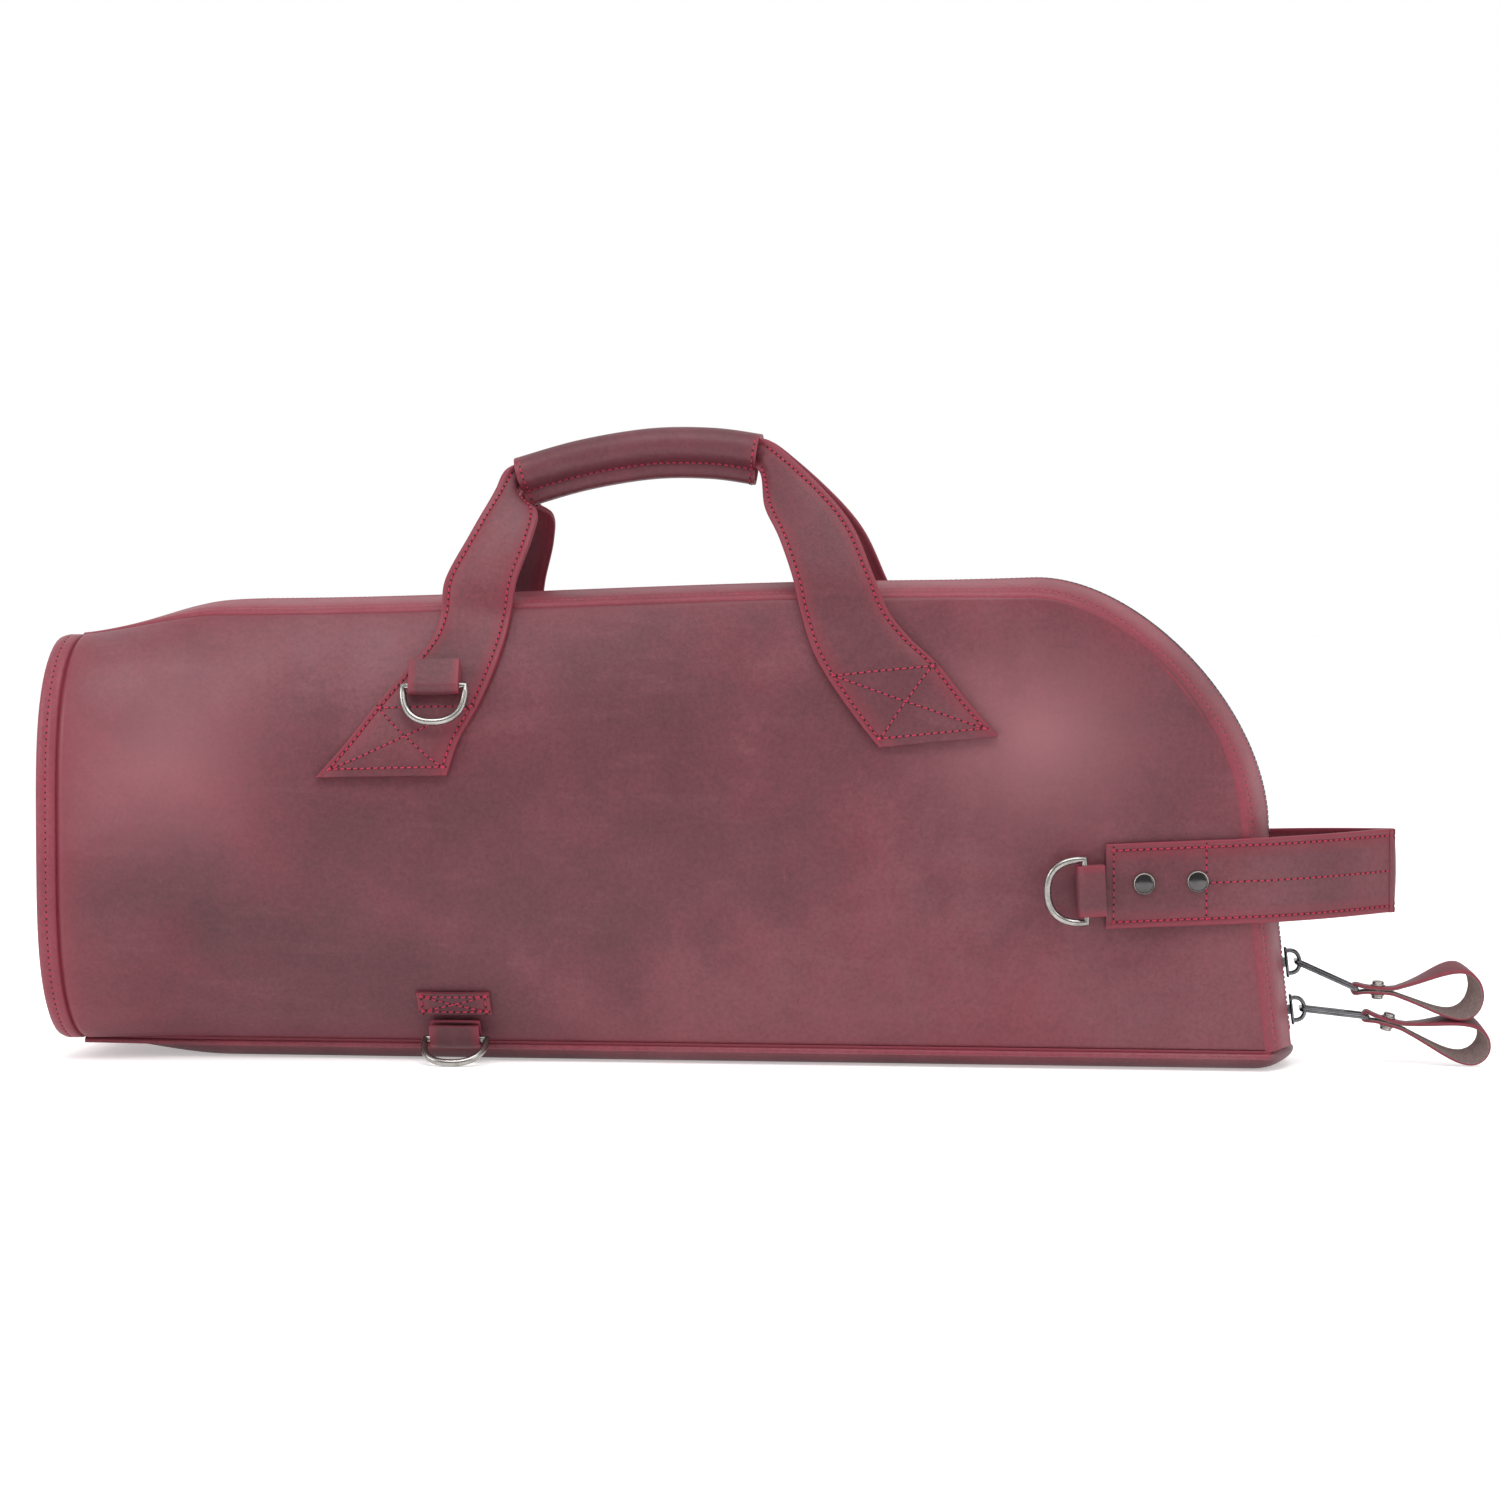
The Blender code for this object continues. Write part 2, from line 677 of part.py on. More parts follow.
def slider(name, z):
    frame = slider_matrix(z)

    def at(x, lift):
        return frame @ Matrix.Translation((x, 0, lift))

    middle = (SLIDER_TOP + SLIDER_LOW) / 2
    span = SLIDER_TOP - SLIDER_LOW
    body = block(name, (SLIDER_LENGTH, SLIDER_WIDTH, SLIDER_PLATE),
                 at(0, SLIDER_TOP + SLIDER_PLATE / 2), GUNMETAL, BAG)
    inner = block(name + "_inner", (SLIDER_LENGTH, SLIDER_WIDTH, SLIDER_PLATE),
                  at(0, SLIDER_LOW - SLIDER_PLATE / 2), None, CUTTERS)
    post = block(name + "_post", (POST_LENGTH, POST_WIDTH, span + SLIDER_PLATE),
                 at(0, middle), None, CUTTERS)
    bridge = block(name + "_bridge", (BRIDGE_LENGTH, BRIDGE_WIDTH, BRIDGE_HEIGHT + 0.0004),
                   at(0, SLIDER_TOP + SLIDER_PLATE + BRIDGE_HEIGHT / 2 - 0.0002), None, CUTTERS)
    lie = Matrix.Rotation(math.radians(90), 4, "X")
    eye = cylinder(name + "_eye", EYE_RADIUS, 0.02, at(0, EYE_LIFT) @ lie, None, CUTTERS)
    eye.data.transform(Matrix.Diagonal((EYE_STRETCH, 1, 1, 1)))
    for piece in (post, inner, bridge):
        carve(body, piece, "UNION")
    carve(body, eye)
    return body


def parting(share):
    """How far the teeth are parted at a share of the path: only between the two posts."""
    upper = end_share(UPPER_SLIDER_Z)
    lower = end_share(LOWER_SLIDER_Z)
    reach = 0.012 / PATH_LENGTH
    return TEETH_SPREAD * smooth((share - upper + reach) / (0.6 * reach)) * smooth(
        (lower + reach - share) / (0.6 * reach))


def zip_strip(name, side, near, far, lift, thick, look, start, stop):
    """A strip of the zip: long steps over the bag, short steps where the sliders part it."""
    near_end = end_share(UPPER_SLIDER_Z + 0.016)
    shares = [lerp(start, near_end, k / 34) for k in range(34)]
    shares += [lerp(near_end, stop, k / 14) for k in range(15)]
    points = []
    for y in (near, far):
        points.append([gusset_point(s, side * (y + (parting(s) if y < 0.01 else 0.0)), lift)
                       for s in shares])
    return sheet(name, points, thick, look, (0, 0, 0.1))


# ---- assembly ----
def make_side(word, side):
    side_sheet(word + "_panel", side, 0.0, LEATHER, LEATHER_MAIN)
    side_sheet(word + "_padding", side, LEATHER + LAYER_GAP, PADDING, FOAM, 0.025, 14, 8)
    side_sheet(word + "_lining", side, LEATHER + PADDING + 2 * LAYER_GAP, LINING, CLOTH,
               0.030, 14, 8)
    foot = 0.9985
    gusset_sheet(word + "_zip_placket", side, PLACKET_OUTER, PLACKET_INNER, 0.0, PLACKET_THICK,
                 LEATHER_TRIM, 0.0, foot, 3, GUSSET_STEPS)
    under = -PLACKET_THICK - LAYER_GAP
    zip_strip(word + "_zip_tape", side, TAPE_INNER, TAPE_OUTER, under, TAPE_THICK, CLOTH,
              0.004, foot - 0.004)
    zip_strip(word + "_zip_teeth", side, TEETH_INNER, TEETH_OUTER, -GAP, TEETH_HEIGHT,
              GUNMETAL, 0.008, foot - 0.008)
    leg(word + "_handle_left_leg", LEFT_LAID, LEFT_FREE, side)
    leg(word + "_handle_right_leg", RIGHT_LAID, RIGHT_FREE, side)


BOTTOM_FLAT = 0.022            # half width of the flat that the bag rests on
BOTTOM_BEND = 0.028            # half width where its sides have started to turn up
BOTTOM_STEPS = 20
TURN_STEPS = 5                 # of those, the ones that turn up at the foot
TURN_RUN = 0.008               # length over which the foot turns up
SIDE_RISE = 0.9                # how near its sides come to the side panels' lower seams
BOARD_LENGTH = 0.46
BOARD_MIDDLE = 0.030
BOARD_THICK = 0.0030


def bottom_point(k, y):
    """Point of the bottom panel's underside; the last steps turn up to meet the zip's foot."""
    lift = max(0.0, (abs(y) - BOTTOM_FLAT) / (PLACKET_OUTER - BOTTOM_FLAT)) ** 1.5
    bend = TIP_X - TURN_RUN
    last = BOTTOM_STEPS - TURN_STEPS
    if k <= last:
        x = lerp(CAP_X + BINDING_WIDTH + GAP, bend, (k / last) ** 1.3)
        base = lerp(0.0, CAP_LOW - CAP_CROWN, cap_share(x))
        return Vector((x, y, lerp(base, section_base(x), lift * SIDE_RISE)))
    turn = math.radians(90 * (k - last) / TURN_STEPS)
    crown = END_CROWN * (1 - (y / GUSSET_HALF) ** 2)
    x_end = TIP_X + crown
    z = lerp(SEAM_LOW * lift * SIDE_RISE, SEAM_LOW - GAP, 1 - math.cos(turn))
    return Vector((lerp(bend, x_end, math.sin(turn)), y, z))


def make_bottom():
    widths = [-PLACKET_OUTER, -BOTTOM_BEND, -BOTTOM_FLAT, 0.0, BOTTOM_FLAT, BOTTOM_BEND,
              PLACKET_OUTER]
    rows = [[bottom_point(k, y) for k in range(BOTTOM_STEPS + 1)] for y in widths]
    sheet("bottom_panel", rows, LEATHER, LEATHER_MAIN, (0, 0, 0.1))
    half = BOTTOM_FLAT - 0.001
    for name, low, thick, look in (("bottom_board", LEATHER + GAP, BOARD_THICK, BOARD),
                                   ("bottom_lining", LEATHER + BOARD_THICK + 2 * GAP, LINING,
                                    CLOTH)):
        matrix = Matrix.Translation((BOARD_MIDDLE, 0, low + thick / 2))
        block(name, (BOARD_LENGTH, 2 * half, thick), matrix, look, BAG)


CAP_FOAM = 0.0050
CAP_FOAM_INSET = 0.0105


def make_cap():
    cap_plate("end_cap", CAP_X, LEATHER + GAP, LEATHER, LEATHER_MAIN)
    cap_plate("end_cap_board", CAP_X + LEATHER + GAP, LEATHER + GAP, BOARD_THICK, BOARD)
    foam_x = CAP_X + LEATHER + BOARD_THICK + 2 * GAP
    cap_plate("end_cap_padding", foam_x, CAP_FOAM_INSET, CAP_FOAM, FOAM)
    cap_plate("end_cap_lining", foam_x + CAP_FOAM + GAP, CAP_FOAM_INSET, LINING, CLOTH)
    rows = []
    for share in (0.0, 0.5, 1.0):
        loop = cap_loop(CAP_X + BINDING_WIDTH * share, 0.0)
        rows.append(loop + [loop[0]])
    columns = [[row[k] for row in rows] for k in range(len(rows[0]) - 1)]
    middle = (CAP_X, 0, CAP_LOW + CAP_HEIGHT / 2)
    sheet("end_cap_binding", columns, LEATHER, LEATHER_TRIM, middle, True)


GRIP_PATH = [(-0.0690, 0.2665), (-0.0400, 0.2745), (-0.0080, 0.2795), (0.0200, 0.2795),
             (0.0415, 0.2765)]
GRIP_HALF_Y = 0.0130
GRIP_HALF_Z = 0.0115
CORE_RADIUS = 0.0088


def make_grip():
    path = [(x, 0, z) for x, z in GRIP_PATH]
    steps, sides = 10, 16
    rows = []
    for j in range(sides):
        angle = 2 * math.pi * j / sides
        row = []
        for k in range(steps + 1):
            here = catmull(path, k / steps)
            ahead = catmull(path, min(k / steps + 0.02, 1)) - catmull(path, k / steps - 0.02)
            run = ahead.normalized()
            up = Vector((-run.z, 0, run.x))
            row.append(here + Vector((0, GRIP_HALF_Y * math.cos(angle), 0))
                       + up * GRIP_HALF_Z * math.sin(angle))
        rows.append(row)
    sheet("handle_grip_wrap", rows, LEATHER, LEATHER_TRIM, (-0.014, 0, 0.274), True)
    core = [catmull(path, lerp(0.02, 0.98, k / 12)) for k in range(13)]
    tube("handle_core", core, CORE_RADIUS, FOAM)


LOOP_START = 0.202
LOOP_LEAVE = 0.266
LOOP_FOLD = 0.3285
LOOP_BELLY = 0.006
LOOP_TURN = 0.0036             # outer radius of the fold at the loop's far end
LOOP_LOW = 0.0830              # height of the loop's middle at its sewn end and at its fold
LOOP_HIGH = 0.0885
FOLD_START = 22                # degrees round the fold: first section, and from one to the next
FOLD_STEP = 30
STUDS = (("outer", 0.219, 0.0845), ("inner", 0.243, 0.0855))
STUD_POST = 0.0020


def loop_rows(side, with_fold):
    """Sections of the end loop from its sewn end to its fold, each as a top and a bottom point."""
    plan = []
    for k in range(7):
        x = lerp(LOOP_START, LOOP_LEAVE, k / 6)
        plan.append((x, abs(panel_frame(x, 0.084, -1, SEWN_LIFT)[0].y)))
    leave_y = plan[-1][1]
    for k in range(1, 9):
        t = k / 8
        y = lerp(leave_y, LOOP_TURN, t) + LOOP_BELLY * math.sin(math.pi * t)
        plan.append((lerp(LOOP_LEAVE, LOOP_FOLD, t), y))
    if with_fold:
        for k in range(6):
            turn = math.radians(FOLD_START + FOLD_STEP * k)
            plan.append((LOOP_FOLD + LOOP_TURN * math.sin(turn), LOOP_TURN * math.cos(turn)))
    rows = []
    for x, y in plan:
        middle = lerp(LOOP_LOW, LOOP_HIGH, (x - LOOP_START) / (LOOP_FOLD - LOOP_START))
        rows.append([Vector((x, side * y, middle + share * STRAP_WIDE / 2))
                     for share in (1.0, 0.0, -1.0)])
    return rows


def make_end_loop():
    front = loop_rows(-1, False)
    back = loop_rows(1, True)
    middle = (0.26, 0, 0.085)
    strap = sheet("end_loop_front", front, STRAP_THICK, LEATHER_TRIM, middle)
    sheet("end_loop_back", back, STRAP_THICK, LEATHER_TRIM, middle)
    for word, x, z in STUDS:
        spot, along, upward, outward = panel_frame(x, z, -1, SEWN_LIFT)
        frame = place(spot, along, -upward)
        if (frame.to_3x3() @ Vector((0, 0, 1))).dot(outward) < 0:
            frame = place(spot, -along, -upward)
        hole = cylinder("stud_hole_" + word, STUD_POST + GAP, 0.012, frame, None, CUTTERS)
        carve(strap, hole)
        profile = [(0, 0.0021), (0.0042, 0.0021), (STUD_R, 0.0016), (STUD_R, GAP),
                   (STUD_POST, GAP), (STUD_POST, 0.0001 - STRAP_THICK), (0, 0.0001 - STRAP_THICK)]
        turned("loop_stud_" + word, profile, frame, NICKEL)


UPPER_RING_AT = (-0.0985, 0.1695)     # X and Z of each ring's bar on the front panel
END_RING_AT = (0.1925, 0.0815)
LOWER_RING_AT = (-0.0925, 0.0140)
UPPER_TAB = 0.0120
END_TAB = 0.0088
LOWER_TAB = 0.0085
TABLE_GAP = 0.0002             # under the lower ring, which leans on what the bag stands on


def make_rings():
    spot, along, upward, _ = panel_frame(*UPPER_RING_AT, -1, BAR_LIFT)
    upper = place(spot, along, -upward)
    ring("d_ring_upper", upper)
    tab("d_ring_tab_upper", upper, UPPER_TAB)
    spot, along, upward, _ = panel_frame(*END_RING_AT, -1, BAR_LIFT)
    end = place(spot, upward, -along)
    ring("d_ring_end", end)
    tab("d_ring_tab_end", end, END_TAB)
    spot, along, upward, _ = panel_frame(*LOWER_RING_AT, -1, BAR_LIFT - STRAP_THICK)
    hang = place(spot, along, -upward)
    tab("d_ring_tab_lower", hang, LOWER_TAB)
    down = spot.z - RING_WIRE - TABLE_GAP
    lean = math.asin(min(down / (RING_DEPTH + RING_SETBACK), 1.0))
    lower = place(spot, (1, 0, 0), (0, -math.cos(lean), -math.sin(lean)))
    ring("d_ring_lower", lower)


PATCH_X = (-0.1095, -0.0925, -0.0760)
PATCH_Z = (0.0335, 0.0285, 0.0235)


def make_lower_patch():
    """The square of leather sewn over the end of the lower ring's tab."""
    lift = GAP + PATCH_THICK
    rows = [[panel_frame(x, z, -1, lift)[0] for x in PATCH_X] for z in PATCH_Z]
    sheet("d_ring_patch", rows, PATCH_THICK, LEATHER_TRIM, (0, 0, 0.1))


# name, slider's height, degrees that the link and the pull hang down, and the pull's swell
PULLS = (("upper", UPPER_SLIDER_Z, 24, 3, PULL_SWELL),
         ("lower", LOWER_SLIDER_Z, 6, 15.3, LOW_SWELL))


def make_pulls():
    for word, z, link_tilt, pull_tilt, swell in PULLS:
        slider("slider_" + word, z)
        eye = slider_matrix(z) @ Vector((0, 0, EYE_LIFT))
        link("pull_link_" + word, eye, link_tilt)
        far = tilted(eye, link_tilt) @ Vector((LINK_LENGTH, 0, 0))
        pull("pull_" + word, far, pull_tilt, swell)


make_side("front", -1)
make_side("back", 1)
make_bottom()
make_cap()
make_grip()
make_end_loop()
make_rings()
make_lower_patch()
make_pulls()
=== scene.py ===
"""Looks of a leather gig bag for a trumpet, laid out as a Blender add-on and run as a script.

Metres, +Z up. +X runs towards the narrow end, and the front (the ring side) faces -Y.
"""
import json
import math

import bmesh
import bpy
import numpy as np
from bpy.props import FloatProperty, FloatVectorProperty, PointerProperty
from mathutils import Matrix, Vector


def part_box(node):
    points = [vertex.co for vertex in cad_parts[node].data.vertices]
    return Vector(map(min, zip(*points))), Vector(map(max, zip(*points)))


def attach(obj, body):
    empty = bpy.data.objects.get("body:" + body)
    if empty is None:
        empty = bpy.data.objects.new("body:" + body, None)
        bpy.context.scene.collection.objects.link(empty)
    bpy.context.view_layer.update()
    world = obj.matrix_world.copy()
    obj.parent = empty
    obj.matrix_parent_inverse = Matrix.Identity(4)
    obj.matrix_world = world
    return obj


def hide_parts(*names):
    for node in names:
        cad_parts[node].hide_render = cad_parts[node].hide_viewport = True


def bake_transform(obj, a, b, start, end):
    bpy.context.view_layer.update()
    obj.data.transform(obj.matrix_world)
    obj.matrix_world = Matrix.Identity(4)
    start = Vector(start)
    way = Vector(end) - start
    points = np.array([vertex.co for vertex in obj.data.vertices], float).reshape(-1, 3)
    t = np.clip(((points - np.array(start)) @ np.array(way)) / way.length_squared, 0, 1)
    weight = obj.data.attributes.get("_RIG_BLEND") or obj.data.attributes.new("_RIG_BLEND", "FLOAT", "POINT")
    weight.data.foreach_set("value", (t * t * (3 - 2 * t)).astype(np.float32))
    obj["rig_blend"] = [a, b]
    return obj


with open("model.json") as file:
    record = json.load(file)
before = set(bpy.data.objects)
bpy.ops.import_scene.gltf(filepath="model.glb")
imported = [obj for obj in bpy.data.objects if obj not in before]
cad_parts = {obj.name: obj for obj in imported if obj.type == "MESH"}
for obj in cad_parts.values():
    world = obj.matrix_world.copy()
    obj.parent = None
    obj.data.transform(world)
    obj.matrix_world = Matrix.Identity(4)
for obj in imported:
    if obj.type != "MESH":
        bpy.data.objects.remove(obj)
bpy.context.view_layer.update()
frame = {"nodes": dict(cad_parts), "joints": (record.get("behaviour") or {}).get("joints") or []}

bl_info = {
    "name": "Trumpet Gig Bag",
    "version": (1, 0, 0),
    "blender": (4, 5, 0),
    "location": "3D View > Sidebar > Gig Bag",
    "description": "Makes a padded leather gig bag for a trumpet, piece by piece",
    "category": "Add Mesh",
}

# ---- sizes read from the frame ----
CAP_EDGE_LOW, CAP_EDGE_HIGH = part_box("end_cap_binding")
SIDE_LOW, SIDE_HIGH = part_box("front_panel")
CAP_X = CAP_EDGE_LOW.x
CAP_LOW = CAP_EDGE_LOW.z
CAP_HEIGHT = CAP_EDGE_HIGH.z - CAP_EDGE_LOW.z
BINDING_WIDTH = CAP_EDGE_HIGH.x - CAP_EDGE_LOW.x
TIP_X = SIDE_HIGH.x
SEAM_LOW = SIDE_LOW.z
SEAM_TOP_NARROW = SIDE_HIGH.z

# ---- the form's own sizes ----
GUSSET_HALF = 0.035            # half of the gusset, seam to seam
SEAM_TOP_WIDE = 0.206
CAP_REACH = 0.076              # length over which the body settles from the cap's outline
CAP_SWEEP = math.radians(90)
BODY_SWEEP = math.radians(44)
CAP_SQUARENESS = 2.5
END_LEAN = 0.011
END_STRAIGHT = 0.100
CORNER_RUN = 0.097
CORNER_PULL = 0.44
CORNER_HALF = 0.074
TOP_CROWN = 0.007
END_CROWN = 0.011
CAP_CROWN = 0.0004
BODY_START = CAP_X + BINDING_WIDTH + 0.0004
CORNER_TOP = (TIP_X - END_LEAN - CORNER_RUN, SEAM_TOP_NARROW)
CORNER_LOW = (TIP_X - END_LEAN, SEAM_LOW + END_STRAIGHT)
PATH_LENGTH = (CORNER_TOP[0] - CAP_X + CORNER_HALF) + END_STRAIGHT + CORNER_HALF

LEATHER = 0.002
STRAP_THICK = 0.0030
SEAM_ROLL = 0.0017             # how deep the leather turns in at a seam
STITCH_INSET = 0.0030          # stitches from a strap's edge

# front pieces follow the cap at the wide end, and the opening side past this point
SHELL_BLEND = ("root", "front_side", (BODY_START, 0, 0), (-0.170, 0, 0))
STRAP_BLEND = ("front_side", "root", (0, 0, 0.208), (0, 0, 0.262))
LOOP_BLEND = ("front_side", "root", (0.262, 0, 0), (0.328, 0, 0))


def mix(a, b, t):
    return a + (b - a) * t


def smooth(t):
    t = np.clip(t, 0.0, 1.0)
    return t * t * (3 - 2 * t)


def unit(vectors):
    return vectors / np.linalg.norm(vectors, axis=-1, keepdims=True)


def catmull(points, t):
    """Points at t (an array in 0..1) along a smooth curve through points."""
    points = np.array(points, float)
    count = len(points) - 1
    spot = np.clip(np.asarray(t, float), 0, 1) * count
    k = np.minimum(spot.astype(int), count - 1)
    f = (spot - k)[..., None]
    p0, p1 = points[np.maximum(k - 1, 0)], points[k]
    p2, p3 = points[k + 1], points[np.minimum(k + 2, count)]
    return 0.5 * (2 * p1 + (p2 - p0) * f + (2 * p0 - 5 * p1 + 4 * p2 - p3) * f ** 2
                  + (3 * p1 - p0 - 3 * p2 + p3) * f ** 3)


# ---- the bag's form ----
def cap_share(x):
    """1 at the cap, falling to 0 where the body has settled."""
    return 1 - smooth((x - CAP_X) / CAP_REACH)


def section_base(x):
    return mix(SEAM_LOW, CAP_LOW, cap_share(x))


def section_height(x):
    seam_top = mix(SEAM_TOP_WIDE, SEAM_TOP_NARROW, smooth((x + 0.2) / 0.32))
    return mix(seam_top - SEAM_LOW, CAP_HEIGHT, cap_share(x))


def sweep(x):
    settled = CAP_X + CAP_REACH
    body = BODY_SWEEP * np.maximum(0.0, TIP_X - x) / (TIP_X - settled)
    return mix(body, CAP_SWEEP, cap_share(x))


def side_curve(angle, power, share):
    """Reach outwards and upwards of a unit-high side that turns from -angle to +angle."""
    steps = 48
    out = up = out_here = up_here = 0.0
    for k in range(steps):
        t = 2 * (k + 0.5) / steps - 1
        turn = math.copysign(1, t) * abs(t) ** power * angle
        part = np.clip(share * steps - k, 0.0, 1.0) / steps
        out_here = out_here - np.sin(turn) * part
        up_here = up_here + np.cos(turn) * part
        out = out - np.sin(turn) / steps
        up = up + np.cos(turn) / steps
    return out_here / up, up_here / up


def corner(t):
    """The curved corner of the seam, from the flat top (0) to the leaning end (1)."""
    rise = CORNER_TOP[1] - CORNER_LOW[1]
    first = (CORNER_TOP[0] + CORNER_RUN * CORNER_PULL, CORNER_TOP[1])
    second = (CORNER_LOW[0], CORNER_LOW[1] + rise * CORNER_PULL)
    s = 1 - t
    return [s ** 3 * a + 3 * s * s * t * b + 3 * s * t * t * c + t ** 3 * d
            for a, b, c, d in zip(CORNER_TOP, first, second, CORNER_LOW)]


def top_edge(a):
    """Outline point (x, height) along the top, from the cap to the middle of the corner."""
    straight = CORNER_TOP[0] - BODY_START
    along = a * (straight + CORNER_HALF)
    x_bend, z_bend = corner(np.clip(0.5 * (along - straight) / CORNER_HALF, 0, 1))
    x_flat = BODY_START + along
    flat = along < straight
    return (np.where(flat, x_flat, x_bend),
            np.where(flat, section_base(x_flat) + section_height(x_flat), z_bend))


def end_edge(b):
    """Outline point (x, height) up the narrow end, from its foot to the middle of the corner."""
    along = b * (END_STRAIGHT + CORNER_HALF)
    x_bend, z_bend = corner(np.clip(1 - 0.5 * (along - END_STRAIGHT) / CORNER_HALF, 0, 1))
    flat = along < END_STRAIGHT
    return (np.where(flat, TIP_X - END_LEAN * along / END_STRAIGHT, x_bend),
            np.where(flat, SEAM_LOW + along, z_bend))


def outline(a, b):
    """Flat place (x, height) of a side panel's point; a runs along X, b upwards."""
    x_top, z_top = top_edge(a)
    x_low = mix(BODY_START, TIP_X, a)
    x_end, z_end = end_edge(b)
    x_mid, z_mid = end_edge(1.0)
    x = mix(x_low, x_top, b) + a * (x_end - mix(TIP_X, x_mid, b))
    z = mix(section_base(x_low), z_top, b) + a * (z_end - mix(SEAM_LOW, z_mid, b))
    return x, z


def panel_surface(a, b):
    x, z = outline(a, b)
    z_low = outline(a, 0.0)[1]
    z_high = outline(a, 1.0)[1]
    angle = sweep(x) * (1 - smooth((a - 0.72) / 0.28))
    out, up = side_curve(angle, mix(1.0, CAP_SQUARENESS, cap_share(x)), b)
    straight = (z - z_low) / np.maximum(z_high - z_low, 1e-6)
    height = z_low + (z_high - z_low) * (straight + up - b)
    return np.stack([x, GUSSET_HALF + out * (z_high - z_low), height], axis=-1)


def seam_distance(a, b):
    """Distance of a panel point from its nearest seam, about right in metres."""
    high = outline(a, 1.0)[1] - outline(a, 0.0)[1]
    long = TIP_X - BODY_START
    return np.minimum(np.minimum(b, 1 - b) * high, np.minimum(a, 1 - a) * long)


def slack(point):
    """The soft, shallow unevenness of padded leather, outwards, in metres."""
    x, z = point[..., 0], point[..., 2]
    return (0.00055 * np.sin(19 * x + 31 * z + 0.4) * np.sin(11 * x - 23 * z + 1.9)
            + 0.00035 * np.sin(47 * x - 29 * z + 2.2) * np.sin(38 * z + 17 * x + 0.6))


def panel_point(a, b, depth, side, worn=True):
    """Points of a side panel, depth inside its face; side is -1 at the front, 1 at the back."""
    a, b = np.broadcast_arrays(np.asarray(a, float), np.asarray(b, float))
    here = panel_surface(a, b)
    step = 0.004
    along = panel_surface(np.minimum(a + step, 1), b) - panel_surface(np.maximum(a - step, 0), b)
    rise = panel_surface(a, np.minimum(b + step, 1)) - panel_surface(a, np.maximum(b - step, 0))
    inward = unit(np.cross(along, rise))
    inward = np.where(inward[..., 1:2] > 0, -inward, inward)
    if worn:
        near = seam_distance(a, b)
        roll = SEAM_ROLL * np.exp(-(near / 0.0016) ** 2)
        depth = depth + roll - slack(here) * smooth(near / 0.035)
    here = here + inward * np.asarray(depth)[..., None]
    return here * np.array([1, side, 1])


def gusset_path(s):
    """Seam point (x, z) at share s, from the cap over the top and down to the foot."""
    top_length = CORNER_TOP[0] - CAP_X + CORNER_HALF
    end_length = END_STRAIGHT + CORNER_HALF
    along = s * (top_length + end_length)
    x_top, z_top = outline(np.clip(along / top_length, 0, 1), 1.0)
    x_end, z_end = outline(1.0, np.clip(1 - (along - top_length) / end_length, 0, 1))
    over = along < top_length
    return np.where(over, x_top, x_end), np.where(over, z_top, z_end)


def gusset_frame(s):
    x, z = gusset_path(s)
    x0, z0 = gusset_path(np.maximum(s - 0.006, 0.0))
    x1, z1 = gusset_path(np.minimum(s + 0.006, 1.0))
    none = np.zeros_like(x)
    run = unit(np.stack([x1 - x0, none, z1 - z0], axis=-1))
    outward = np.stack([-run[..., 2], none, run[..., 0]], axis=-1)
    return np.stack([x, none, z], axis=-1), run, outward


def gusset_point(s, y, lift):
    """Point of the gusset at share s of its path, y across, lifted off its crowned face."""
    s, y, lift = np.broadcast_arrays(*(np.asarray(v, float) for v in (s, y, lift)))
    spot, _, outward = gusset_frame(s)
    crown = mix(TOP_CROWN, END_CROWN, smooth((s - 0.55) / 0.25))
    crown = mix(CAP_CROWN, crown, smooth(s / 0.12))
    rise = crown * (1 - (y / GUSSET_HALF) ** 2) + lift
    point = spot + outward * rise[..., None]
    point[..., 1] = y
    return point


def cap_loop(x, inset, steps=40):
    """Closed outline of the cap, inset towards its middle."""
    out, up = side_curve(CAP_SWEEP, CAP_SQUARENESS, np.linspace(0, 1, steps + 1))
    half = np.stack([np.full_like(out, x), GUSSET_HALF + out * CAP_HEIGHT,
                     CAP_LOW + up * CAP_HEIGHT], axis=-1)
    flat = np.linspace(GUSSET_HALF, -GUSSET_HALF, 12)[1:-1]
    high = np.stack([np.full_like(flat, x), flat, np.full_like(flat, CAP_LOW + CAP_HEIGHT)], -1)
    mirrored = half[::-1] * np.array([1, -1, 1])
    low = high[::-1] * np.array([1, 1, 0]) + np.array([0, 0, CAP_LOW])
    ring = np.concatenate([half, high, mirrored, low])
    along = unit(np.roll(ring, -1, axis=0) - np.roll(ring, 1, axis=0))
    inward = np.stack([np.zeros(len(ring)), -along[:, 2], along[:, 1]], axis=-1)
    return ring + inward * inset, -inward


def panel_share(x, z):
    """The panel's (a, b) at a flat place (x, z)."""
    a = (np.asarray(x, float) - BODY_START) / (TIP_X - BODY_START)
    b = np.asarray(z, float) / SEAM_TOP_NARROW
    for _ in range(14):
        found = panel_surface(a, b)
        a = np.clip(a + (x - found[..., 0]) / (TIP_X - CAP_X), 0.01, 0.99)
        b = np.clip(b + (z - found[..., 2]) / SEAM_TOP_NARROW, 0.02, 0.98)
    return a, b


def on_panel(x, z, side, lift):
    a, b = panel_share(x, z)
    return panel_point(a, b, -lift, side)


def panel_normal(x, z, side):
    return unit(on_panel(x, z, side, 0.002) - on_panel(x, z, side, 0.0))


# ---- meshes ----
def clustered(count):
    """Shares from 0 to 1 that crowd towards both ends."""
    return 0.5 - 0.5 * np.cos(np.pi * np.arange(count + 1) / count)


